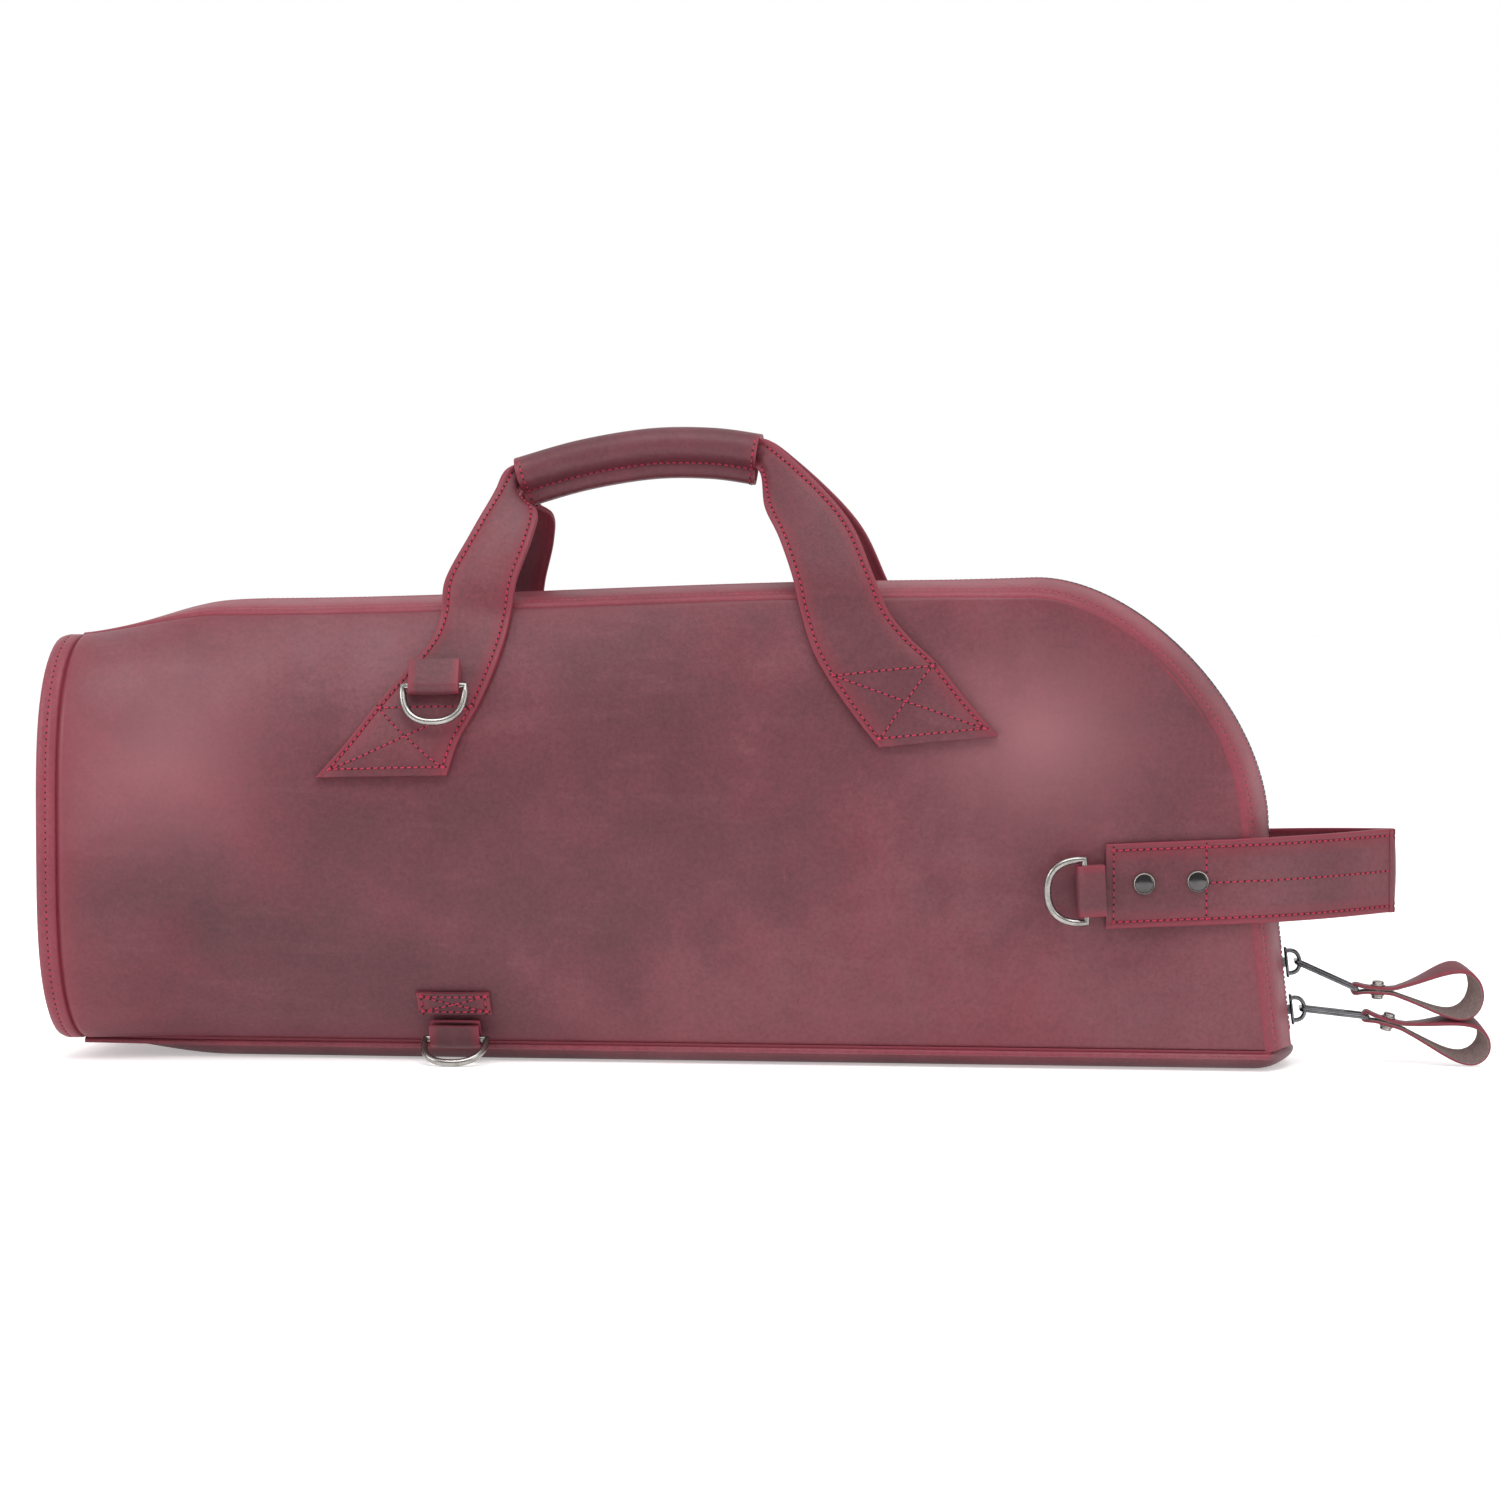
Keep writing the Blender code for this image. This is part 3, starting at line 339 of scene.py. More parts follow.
def quads(rows, columns, closed=False):
    """Faces of a grid of points numbered row by row; closed joins each row's ends."""
    wide = columns if closed else columns - 1
    faces = []
    for j in range(rows - 1):
        for k in range(wide):
            n = (k + 1) % columns
            faces.append((j * columns + k, j * columns + n,
                          (j + 1) * columns + n, (j + 1) * columns + k))
    return faces


def new_mesh(name, points, faces, edge=None, kinds=None):
    """A smooth-shaded mesh; edge is each point's nearness to a cut or turned edge, 0 to 1."""
    mesh = bpy.data.meshes.new(name)
    mesh.from_pydata([tuple(p) for p in points], [], faces)
    if kinds is not None:
        mesh.polygons.foreach_set("material_index", kinds)
    if edge is not None:
        wear = mesh.attributes.new("edge", "FLOAT", "POINT")
        wear.data.foreach_set("value", np.asarray(edge, np.float32))
    mesh.polygons.foreach_set("use_smooth", [True] * len(mesh.polygons))
    mesh.validate()
    mesh.update()
    return mesh


def face_outwards(mesh):
    build = bmesh.new()
    build.from_mesh(mesh)
    bmesh.ops.recalc_face_normals(build, faces=build.faces)
    build.to_mesh(mesh)
    build.free()
    mesh.set_sharp_from_angle(angle=math.radians(50))
    return mesh


def shell(name, outer, inner, edge=None, kind_inner=0):
    """A closed sheet between two grids of points, rows by columns."""
    rows, columns = outer.shape[:2]
    count = rows * columns
    grid = quads(rows, columns)
    faces = grid + [tuple(count + v for v in reversed(face)) for face in grid]
    rim = ([k for k in range(columns)] + [j * columns + columns - 1 for j in range(1, rows)]
           + [(rows - 1) * columns + k for k in range(columns - 2, -1, -1)]
           + [j * columns for j in range(rows - 2, 0, -1)])
    faces += [(rim[k], rim[k - 1], count + rim[k - 1], count + rim[k]) for k in range(len(rim))]
    kinds = [0] * len(grid) + [kind_inner] * len(grid) + [0] * len(rim)
    points = np.concatenate([outer.reshape(-1, 3), inner.reshape(-1, 3)])
    wear = None if edge is None else np.concatenate([edge.ravel(), edge.ravel()])
    return face_outwards(new_mesh(name, points, faces, wear, kinds))


def loft(name, sections, edge=None, kinds=None, closed=False):
    """A body through closed sections (sections by points), capped unless the path is closed."""
    rows, columns = sections.shape[:2]
    faces = quads(rows, columns, True)
    if closed:
        last = (rows - 1) * columns
        faces += [(last + k, last + (k + 1) % columns, (k + 1) % columns, k)
                  for k in range(columns)]
    per_face = None if kinds is None else list(kinds) * (rows if closed else rows - 1)
    if not closed:
        faces += [tuple(range(columns - 1, -1, -1)),
                  tuple((rows - 1) * columns + k for k in range(columns))]
        per_face = None if kinds is None else per_face + [0, 0]
    wear = None if edge is None else np.tile(edge, rows)
    return face_outwards(new_mesh(name, sections.reshape(-1, 3), faces, wear, per_face))


def lathe(name, profile, matrix, steps=40):
    """A turned body from (radius, height) points down its outer side, placed by matrix."""
    points = []
    for radius, height in profile:
        for k in range(steps):
            angle = 2 * math.pi * k / steps
            spot = Vector((radius * math.cos(angle), radius * math.sin(angle), height))
            points.append(matrix @ spot)
    faces = quads(len(profile), steps, True)
    faces += [tuple(range(steps)), tuple((len(profile) - 1) * steps + k for k in range(steps))]
    return face_outwards(new_mesh(name, points, faces))


def piece(name, mesh, looks, body=None, slot=None, replaces=(), blend=None):
    """Adds a finished mesh as an object that moves with a body, or bends between two."""
    obj = bpy.data.objects.new(name, mesh)
    bpy.context.scene.collection.objects.link(obj)
    for look in looks if isinstance(looks, (list, tuple)) else [looks]:
        mesh.materials.append(look)
    if blend:
        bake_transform(obj, blend[0], blend[1], start=blend[2], end=blend[3])
    else:
        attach(obj, body)
    if replaces:
        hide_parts(*replaces)
    return obj


# ---- straps and tabs ----
def strap_profile(thick, stitched=True, layers=2, crown=0.0003):
    """Points (share of half width, distance from the edge, height) round a strap's section."""
    half = thick / 2
    turn = min(0.0006, half * 0.6)
    groove = 0.0003 if stitched else 0.0
    left = [(-1, 0.0, half - turn), (-1, turn * 0.3, half - turn * 0.3), (-1, turn, half)]
    if stitched:
        left += [(-1, STITCH_INSET - 0.0008, half), (-1, STITCH_INSET, half - groove),
                 (-1, STITCH_INSET + 0.0008, half)]
    inset = STITCH_INSET + 0.0008 if stitched else turn
    middle = [(f, abs(f) * inset, half) for f in (-0.66, -0.33, 0.0)]
    face = left + middle + [(-f, d, h) for f, d, h in reversed(left + middle[:-1])]
    under = [(f, d, -h) for f, d, h in reversed(face)]
    line = [(1, 0.0002, 0.0002), (1, 0.0004, 0.0), (1, 0.0002, -0.0002)] if layers == 2 else []
    back = [(-f, d, -h) for f, d, h in line]
    profile = [(f, d, h + crown * (1 - f * f)) for f, d, h in face + line + under + back]
    return profile, len(face)


def band_frames(lefts, rights, flip):
    middle = (lefts + rights) / 2
    across = rights - lefts
    half = np.linalg.norm(across, axis=-1, keepdims=True) / 2
    across = across / (2 * half)
    along = unit(np.gradient(middle, axis=0))
    normal = unit(np.cross(across, along)) * (-1 if flip else 1)
    return middle, across, normal, half


def band(name, lefts, rights, thick, flip=False, stitched=True, layers=2, two_tone=False,
         crown=0.0003, closed=False):
    """A strap between two edge lines; its drawn face is the outer one, thick below it."""
    if closed:
        lefts, rights = (np.concatenate([v[-3:], v, v[:3]]) for v in (lefts, rights))
    middle, across, normal, half = band_frames(lefts, rights, flip)
    profile, face_count = strap_profile(thick, stitched, layers, crown)
    middle = middle - normal * (thick / 2)
    sections = np.stack([middle + across * (f * half - math.copysign(d, f) * (f != 0))
                         + normal * h for f, d, h in profile], axis=1)
    if closed:
        sections = sections[3:-3]
    wear = [1.0 if abs(f) == 1 and d < 0.002 else 0.55 if abs(f) == 1 else 0.0
            for f, d, h in profile]
    kinds = None
    if two_tone:
        start = face_count + (3 if layers == 2 else 0)
        kinds = [1 if start <= k < start + face_count - 1 else 0 for k in range(len(profile))]
    return loft(name, sections, wear, kinds, closed)


def band_line(lefts, rights, flip, start, stop, crown=0.0003, inset=STITCH_INSET, count=40,
              under=0.0):
    """Stitch line on a strap between (share along, share across -1..1) places."""
    middle, across, normal, half = band_frames(lefts, rights, flip)
    spots = np.linspace(0, 1, len(middle))
    share = np.linspace(start[0], stop[0], count)
    side = np.linspace(start[1], stop[1], count)[:, None]

    def here(values):
        return np.stack([np.interp(share, spots, values[:, k])
                         for k in range(values.shape[1])], axis=1)

    out = unit(here(normal))
    lift = crown * (1 - side ** 2) + 0.0001 if not under else -under - 0.0001
    return here(middle) + here(across) * side * (here(half) - inset) + out * lift, (
        -out if under else out)


# ---- materials ----
class Shader:
    """A material whose nodes are added one at a time round its Principled shader."""

    def __init__(self, name, roughness=0.5, metallic=0.0):
        self.material = bpy.data.materials.new(name)
        self.material.use_nodes = True
        self.tree = self.material.node_tree
        self.surface = self.tree.nodes["Principled BSDF"]
        self.surface.inputs["Roughness"].default_value = roughness
        self.surface.inputs["Metallic"].default_value = metallic
        self.place = self.node("ShaderNodeTexCoord").outputs["Object"]

    def feed(self, socket, value):
        if isinstance(value, bpy.types.NodeSocket):
            self.tree.links.new(value, socket)
        else:
            socket.default_value = value

    def node(self, kind, values=None, **settings):
        made = self.tree.nodes.new(kind)
        for key, value in settings.items():
            setattr(made, key, value)
        for key, value in (values or {}).items():
            self.feed(made.inputs[key], value)
        return made

    def noise(self, scale, detail=3.0, rough=0.55, stretch=None):
        place = self.place
        if stretch:
            place = self.node("ShaderNodeMapping", {"Vector": place, "Rotation": stretch[1],
                                                    "Scale": stretch[0]}).outputs[0]
        values = {"Vector": place, "Scale": scale, "Detail": detail, "Roughness": rough}
        return self.node("ShaderNodeTexNoise", values).outputs[0]

    def math(self, operation, a, b=0.0, clamp=False):
        made = self.node("ShaderNodeMath", operation=operation, use_clamp=clamp)
        self.feed(made.inputs[0], a)
        self.feed(made.inputs[1], b)
        return made.outputs[0]

    def remap(self, value, low, high, out_low=0.0, out_high=1.0):
        values = {"Value": value, "From Min": low, "From Max": high, "To Min": out_low,
                  "To Max": out_high}
        return self.node("ShaderNodeMapRange", values).outputs[0]

    def mix(self, share, a, b, kind="MIX"):
        made = self.node("ShaderNodeMix", data_type="RGBA", blend_type=kind)
        self.feed(made.inputs[0], share)
        self.feed(made.inputs[6], a)
        self.feed(made.inputs[7], b)
        return made.outputs[2]

    def bump(self, height, distance, strength=1.0, normal=None):
        values = {"Height": height, "Distance": distance, "Strength": strength}
        made = self.node("ShaderNodeBump", values)
        if normal:
            self.feed(made.inputs["Normal"], normal)
        return made.outputs[0]

    def spot(self, middle, reach, share):
        """A soft spot of that share round a place in the object, reach metres along each axis."""
        turn = self.node("ShaderNodeMapping", {
            "Vector": self.place, "Location": tuple(-m / r for m, r in zip(middle, reach)),
            "Scale": tuple(1 / r for r in reach)}).outputs[0]
        ball = self.node("ShaderNodeTexGradient", {"Vector": turn},
                         gradient_type="QUADRATIC_SPHERE").outputs["Fac"]
        return self.math("MULTIPLY", ball, share)

    def set(self, **sockets):
        for key, value in sockets.items():
            self.feed(self.surface.inputs[key.replace("_", " ")], value)
        return self.material


def rgb(colour, factor=1.0):
    return (colour[0] * factor, colour[1] * factor, colour[2] * factor, 1.0)


def leather(name, body, deep, raised_and_sheen, red, edge_share, painted_sheen_spots=()):
    """Waxed pull-up leather: clouded colour, rubbed lights, painted sheen spots where given, fine grain,
    redder at its edges.
    """
    look = Shader(name)
    cloud = look.noise(6.0, 3.0, 0.5)
    patch = look.noise(17.0, 6.0, 0.62)
    both = look.math("ADD", look.math("MULTIPLY", cloud, 0.55), look.math("MULTIPLY", patch, 0.45))
    tone = look.mix(look.remap(both, 0.34, 0.54), rgb(deep), rgb(body))
    tone = look.mix(look.remap(both, 0.50, 0.78, 0.0, 0.8), tone, rgb(raised_and_sheen))
    warm = look.remap(look.noise(9.0, 6.0, 0.66), 0.46, 0.74, 0.0, 0.42)
    tone = look.mix(warm, tone, rgb(red))
    rub = look.noise(1.0, 5.0, 0.7, ((14.0, 14.0, 90.0), (0.0, 0.3, 0.0)))
    tone = look.mix(look.remap(rub, 0.54, 0.80, 0.0, 0.16), tone, rgb(raised_and_sheen, 1.1))
    scratch = look.noise(1.0, 2.0, 0.5, ((420.0, 420.0, 24.0), (0.0, 0.62, 0.0)))
    tone = look.mix(look.remap(scratch, 0.74, 0.82, 0.0, 0.14), tone, rgb(raised_and_sheen, 1.3))
    speck = look.remap(look.noise(480.0, 4.0, 0.8), 0.32, 0.68, 0.80, 1.17)
    tone = look.mix(1.0, tone, look.node("ShaderNodeCombineColor", {
        "Red": speck, "Green": speck, "Blue": speck}).outputs[0], "MULTIPLY")
    # painted sheen: the raised colour, brightened, laid in soft spots where the lights would shine
    for middle, reach, share in painted_sheen_spots:
        tone = look.mix(look.spot(middle, reach, share), tone, rgb(raised_and_sheen, 1.5))
    edge = look.node("ShaderNodeAttribute", attribute_name="edge").outputs["Fac"]
    tone = look.mix(look.math("MULTIPLY", edge, edge_share), tone, rgb(red))
    cells = look.node("ShaderNodeTexVoronoi", {"Vector": look.place, "Scale": 780.0},
                      feature="SMOOTH_F1").outputs["Distance"]
    pores = look.math("ADD", look.math("MULTIPLY", cells, 0.7), look.noise(2300.0, 3.0, 0.6))
    bumps = look.bump(pores, 0.00012, 0.6)
    bumps = look.bump(look.noise(60.0, 3.0), 0.0012, 0.25, bumps)
    rough = look.remap(both, 0.35, 0.65, 0.54, 0.42)
    look.surface.inputs["Specular IOR Level"].default_value = 0.38
    return look.set(Base_Color=tone, Roughness=rough, Normal=bumps)


def flesh(name):
    """The unfinished inner side of leather: matt and fibrous."""
    look = Shader(name, 0.85)
    fibre = look.noise(900.0, 4.0, 0.7)
    tone = look.mix(look.remap(fibre, 0.3, 0.7), rgb((0.115, 0.075, 0.072)),
                    rgb((0.21, 0.145, 0.135)))
    return look.set(Base_Color=tone, Normal=look.bump(fibre, 0.0002, 0.6))


def woven(name, dark, light, threads, distance):
    """Plain weave from two crossed waves, with a little unevenness."""
    look = Shader(name, 0.9)
    waves = [look.node("ShaderNodeTexWave", {"Vector": look.place, "Scale": threads,
                                             "Distortion": 0.6, "Detail": 1.0},
                       bands_direction=axis).outputs["Fac"] for axis in ("X", "Z")]
    over = look.math("MULTIPLY", waves[0], waves[1])
    shade = look.math("ADD", over, look.math("MULTIPLY", look.noise(70.0), 0.4))
    tone = look.mix(look.remap(shade, 0.1, 0.9), rgb(dark), rgb(light))
    look.surface.inputs["Sheen Weight"].default_value = 0.3
    return look.set(Base_Color=tone, Normal=look.bump(over, distance, 0.7))


def metal(name, colour, roughness, wear):
    look = Shader(name, roughness, 1.0)
    smudge = look.noise(140.0, 4.0, 0.6)
    tone = look.mix(look.remap(smudge, 0.4, 0.7), rgb(colour), rgb(colour, wear))
    rough = look.remap(smudge, 0.35, 0.7, roughness, roughness * 1.8)
    return look.set(Base_Color=tone, Roughness=rough,
                    Normal=look.bump(look.noise(900.0), 0.00002, 0.3))


def plain(name, dark, light, scale, distance, roughness=0.9):
    look = Shader(name, roughness)
    grain = look.noise(scale, 5.0, 0.65)
    tone = look.mix(look.remap(grain, 0.3, 0.7), rgb(dark), rgb(light))
    return look.set(Base_Color=tone, Normal=look.bump(grain, distance, 0.6))


# painted sheen: soft lighter spots in the side panels' colour where the lights shine on them: middle, reach,
# share
PAINTED_SHEEN_SPOTS = (((-0.222, 0.0, 0.138), (0.085, 0.40, 0.075), 0.75),
         ((0.172, 0.0, 0.150), (0.085, 0.40, 0.070), 0.75))
LOOKS = {}


def make_looks():
    tint = bpy.context.scene.gig_leather
    sewing = bpy.context.scene.gig_sewing
    LOOKS["body"] = leather("waxed_leather", tint.body, tint.deep, tint.raised_and_sheen, tint.red, 0.75,
                           PAINTED_SHEEN_SPOTS)
    LOOKS["trim"] = leather("trim_leather", tint.trim, tint.deep, tint.raised_and_sheen, tint.red, 0.85)
    LOOKS["placket"] = leather("placket_leather", tint.placket, tint.trim, tint.raised_and_sheen,
                               tint.red, 0.5)
    LOOKS["flesh"] = flesh("flesh_side")
    LOOKS["lining"] = woven("lining_cloth", (0.016, 0.013, 0.015), (0.05, 0.04, 0.045),
                            420.0, 0.0002)
    LOOKS["tape"] = woven("zip_tape_weave", (0.035, 0.012, 0.018), (0.085, 0.03, 0.042),
                          520.0, 0.00015)
    LOOKS["nickel"] = metal("polished_nickel", (0.40, 0.38, 0.36), 0.2, 0.6)
    LOOKS["gunmetal"] = metal("gunmetal_plating", (0.16, 0.16, 0.17), 0.17, 0.6)
    LOOKS["dark_steel"] = metal("dark_polished_steel", (0.10, 0.095, 0.095), 0.12, 0.7)
    LOOKS["foam"] = plain("closed_cell_foam", (0.14, 0.14, 0.15), (0.30, 0.30, 0.31),
                          700.0, 0.0003)
    LOOKS["board"] = plain("fibre_board", (0.20, 0.15, 0.10), (0.40, 0.32, 0.23), 300.0, 0.0002)
    LOOKS["thread"] = plain("sewing_thread", tuple(c * 0.6 for c in sewing.thread),
                            tuple(sewing.thread), 1600.0, 0.0001, 0.6)
    # needle holes: near-black discs painted as the shade inside each hole
    LOOKS["hole"] = plain("needle_hole_shade", (0.012, 0.003, 0.004), (0.03, 0.006, 0.01), 900.0,
                          0.0001)


# ---- node trees for what repeats ----
class Tree:
    """A geometry node tree with named inputs, built one node at a time."""

    def __init__(self, name, inputs):
        self.tree = bpy.data.node_groups.new(name, "GeometryNodeTree")
        face = self.tree.interface
        face.new_socket("Geometry", in_out="INPUT", socket_type="NodeSocketGeometry")
        for label, (kind, default) in inputs.items():
            made = face.new_socket(label, in_out="INPUT", socket_type=kind)
            if default is not None:
                made.default_value = default
        face.new_socket("Geometry", in_out="OUTPUT", socket_type="NodeSocketGeometry")
        self.start = self.tree.nodes.new("NodeGroupInput")
        self.end = self.tree.nodes.new("NodeGroupOutput")

    def given(self, label):
        return self.start.outputs[label]

    def node(self, kind, values=None, **settings):
        made = self.tree.nodes.new(kind)
        for key, value in settings.items():
            setattr(made, key, value)
        for key, value in (values or {}).items():
            if isinstance(value, bpy.types.NodeSocket):
                self.tree.links.new(value, made.inputs[key])
            else:
                made.inputs[key].default_value = value
        return made

    def math(self, operation, a, b):
        return self.node("ShaderNodeMath", {0: a, 1: b}, operation=operation).outputs[0]

    def vector(self, x, y, z):
        return self.node("ShaderNodeCombineXYZ", {"X": x, "Y": y, "Z": z}).outputs[0]

    def coat(self, geometry, look):
        """Real geometry with its material."""
        real = self.node("GeometryNodeRealizeInstances", {"Geometry": geometry}).outputs[0]
        return self.node("GeometryNodeSetMaterial", {"Geometry": real, "Material": look}).outputs[0]

    def finish(self, *parts):
        join = self.node("GeometryNodeJoinGeometry")
        for part in parts:
            self.tree.links.new(part, join.inputs[0])
        self.tree.links.new(join.outputs[0], self.end.inputs[0])
        return self.tree

    def spaced(self, pitch):
        """Points along each line, pitch apart, and the turn that sets X along it and Z off it."""
        line = self.node("GeometryNodeMeshToCurve", {"Mesh": self.given("Geometry")})
        points = self.node("GeometryNodeCurveToPoints", {"Curve": line.outputs[0],
                                                         "Length": pitch}, mode="LENGTH")
        outward = self.node("GeometryNodeInputNamedAttribute", {"Name": "out"},
                            data_type="FLOAT_VECTOR").outputs[0]
        stand = self.node("FunctionNodeAlignRotationToVector", {"Vector": outward}, axis="Z")
        turn = self.node("FunctionNodeAlignRotationToVector",
                         {"Rotation": stand.outputs[0], "Vector": points.outputs["Tangent"]},
                         axis="X", pivot_axis="Z")
        return points, turn.outputs[0]

    def along(self, points, distance):
        """The same points moved along their line."""
        move = self.node("ShaderNodeVectorMath", {0: points.outputs["Tangent"], "Scale": distance},
                         operation="SCALE")
        return self.node("GeometryNodeSetPosition", {"Geometry": points.outputs["Points"],
                                                     "Offset": move.outputs[0]}).outputs[0]


def stitch_tree():
    """Short arched threads along lines, with a dark disc between each two as the painted shade of a needle
    hole.
    """
    size = "NodeSocketFloat"
    tree = Tree("Stitches", {
        "Pitch": (size, 0.003), "Thread Radius": (size, 0.0003), "Fill": (size, 0.7),
        "Rise": (size, 0.0004), "Slant": (size, 0.12), "Hole Radius": (size, 0.0004),
        "Thread": ("NodeSocketMaterial", None), "Hole": ("NodeSocketMaterial", None)})
    points, turn = tree.spaced(tree.given("Pitch"))
    reach = tree.math("MULTIPLY", tree.math("MULTIPLY", tree.given("Pitch"), tree.given("Fill")),
                      0.5)
    sunk = tree.math("MULTIPLY", tree.given("Thread Radius"), -1.1)
    arch = tree.node("GeometryNodeCurveQuadraticBezier", {
        "Resolution": 3, "Start": tree.vector(tree.math("MULTIPLY", reach, -1.0), 0.0, sunk),
        "Middle": tree.vector(0.0, 0.0, tree.given("Rise")),
        "End": tree.vector(reach, 0.0, sunk)}).outputs[0]
    ring = tree.node("GeometryNodeCurvePrimitiveCircle", {
        "Resolution": 5, "Radius": tree.given("Thread Radius")}).outputs[0]
    thread = tree.node("GeometryNodeCurveToMesh", {"Curve": arch, "Profile Curve": ring,
                                                   "Fill Caps": True}).outputs[0]
    slant = tree.node("FunctionNodeRotateRotation", {
        "Rotation": turn, "Rotate By": tree.node("FunctionNodeAxisAngleToRotation", {
            "Angle": tree.given("Slant")}).outputs[0]}, rotation_space="LOCAL").outputs[0]
    threads = tree.node("GeometryNodeInstanceOnPoints", {
        "Points": points.outputs["Points"], "Instance": thread, "Rotation": slant}).outputs[0]
    # each hole is a flat dark disc on the leather: painted shade, not a real opening
    disc = tree.node("GeometryNodeMeshCylinder", {
        "Vertices": 7, "Radius": tree.given("Hole Radius"), "Depth": 0.0003}).outputs["Mesh"]
    between = tree.along(points, tree.math("MULTIPLY", tree.given("Pitch"), 0.5))
    holes = tree.node("GeometryNodeInstanceOnPoints", {
        "Points": between, "Instance": disc, "Rotation": turn}).outputs[0]
    return tree.finish(tree.coat(threads, tree.given("Thread")),
                       tree.coat(holes, tree.given("Hole")))


def tooth_tree():
    """Zip teeth along a line: a foot that grips the tape and a head that meets the other row."""
    size = "NodeSocketFloat"
    tree = Tree("Teeth", {
        "Pitch": (size, 0.0022), "Shift": (size, 0.0), "Foot Length": (size, 0.0011),
        "Foot Width": (size, 0.0026), "Height": (size, 0.0024), "Head Reach": (size, 0.0016),
        "Finish": ("NodeSocketMaterial", None)})
    points, turn = tree.spaced(tree.given("Pitch"))
    moved = tree.along(points, tree.given("Shift"))
    foot = tree.node("GeometryNodeMeshCube", {"Size": tree.vector(
        tree.given("Foot Length"), tree.given("Foot Width"), tree.given("Height"))}).outputs[0]
    head = tree.node("GeometryNodeMeshUVSphere", {"Segments": 6, "Rings": 4,
                                                  "Radius": tree.given("Head Reach")})
    flat = tree.node("GeometryNodeTransform", {"Geometry": head.outputs[0], "Scale": (0.5, 1, 0.62),
                                               "Translation": (0, 0.0006, 0)}).outputs[0]
    join = tree.node("GeometryNodeJoinGeometry")
    tree.tree.links.new(foot, join.inputs[0])
    tree.tree.links.new(flat, join.inputs[0])
    teeth = tree.node("GeometryNodeInstanceOnPoints", {
        "Points": moved, "Instance": join.outputs[0], "Rotation": turn}).outputs[0]
    return tree.finish(tree.coat(teeth, tree.given("Finish")))


def wire_tree():
    """Round wire or cord along closed or open lines."""
    tree = Tree("Wire", {"Radius": ("NodeSocketFloat", 0.001), "Sides": ("NodeSocketInt", 14),
                         "Finish": ("NodeSocketMaterial", None)})
    line = tree.node("GeometryNodeMeshToCurve", {"Mesh": tree.given("Geometry")}).outputs[0]
    ring = tree.node("GeometryNodeCurvePrimitiveCircle", {
        "Resolution": tree.given("Sides"), "Radius": tree.given("Radius")}).outputs[0]
    made = tree.node("GeometryNodeCurveToMesh", {"Curve": line, "Profile Curve": ring,
                                                 "Fill Caps": True}).outputs[0]
    return tree.finish(tree.coat(made, tree.given("Finish")))


TREES = {}


def tree_named(name):
    makers = {"Stitches": stitch_tree, "Teeth": tooth_tree, "Wire": wire_tree}
    if name not in TREES:
        TREES[name] = makers[name]()
    return TREES[name]


def grown(name, tree_name, lines, settings, closed=False):
    """The plain mesh that a node tree makes along lines, each (points, outward directions)."""
    points, edges, outs = [], [], []
    for line, outward in lines:
        first = len(points)
        points += [tuple(p) for p in line]
        outs += [tuple(v) for v in outward]
        edges += [(k, k + 1) for k in range(first, len(points) - 1)]
        if closed:
            edges.append((len(points) - 1, first))
    guide = bpy.data.meshes.new(name + "_lines")
    guide.from_pydata(points, edges, [])
    guide.attributes.new("out", "FLOAT_VECTOR", "POINT").data.foreach_set(
        "vector", np.array(outs, np.float32).ravel())
    holder = bpy.data.objects.new(name + "_lines", guide)
    bpy.context.scene.collection.objects.link(holder)
    tree = tree_named(tree_name)
    step = holder.modifiers.new("grow", "NODES")
    step.node_group = tree
    keys = {item.name: item.identifier for item in tree.interface.items_tree
            if item.item_type == "SOCKET" and item.in_out == "INPUT"}
    for label, value in settings.items():
        step[keys[label]] = value
    bpy.context.view_layer.update()
    made = bpy.data.meshes.new_from_object(
        holder.evaluated_get(bpy.context.evaluated_depsgraph_get()))
    made.name = name
    bpy.data.objects.remove(holder)
    bpy.data.meshes.remove(guide)
    for attribute in [a.name for a in made.attributes if a.name in ("out", "tangent")]:
        made.attributes.remove(made.attributes[attribute])
    made.polygons.foreach_set("use_smooth", [True] * len(made.polygons))
    made.set_sharp_from_angle(angle=math.radians(40))
    return made


def grown_piece(name, tree_name, lines, settings, closed=False, **where):
    mesh = grown(name, tree_name, lines, settings, closed)
    return piece(name, mesh, (), **where)


SEWN = {}


def sew(group, line, outward):
    """Keeps a stitch row for its group; each group becomes one piece of stitching."""
    SEWN.setdefault(group, []).append((line, outward))


# ---- side panels, plackets, cap and bottom ----
def make_panel(word, side):
    """A side panel of body leather, turned in at its seams and a little uneven over its foam."""
    a, b = np.meshgrid(clustered(150), clustered(84))
    near = seam_distance(a, b)
    outer = panel_point(a, b, 0.0, side)
    inner = panel_point(a, b, LEATHER, side)
    at_cap = a * (TIP_X - BODY_START)
    wear = np.maximum(0.55 * np.exp(-near / 0.005), np.exp(-at_cap / 0.008))
    mesh = shell(word + "_side_panel", outer, inner, wear, 1)
    piece(word + "_side_panel", mesh, [LOOKS["body"], LOOKS["flesh"]], "root", "body_leather",
          (word + "_panel",), SHELL_BLEND if side < 0 else None)


PLACKET_SEAM = 0.0350          # outer edge of a zip placket, from the middle
PLACKET_FOLD = 0.0125          # its inner, folded edge
PLACKET_STITCH = (0.0312, 0.0152)
PLACKET_END = 0.9985


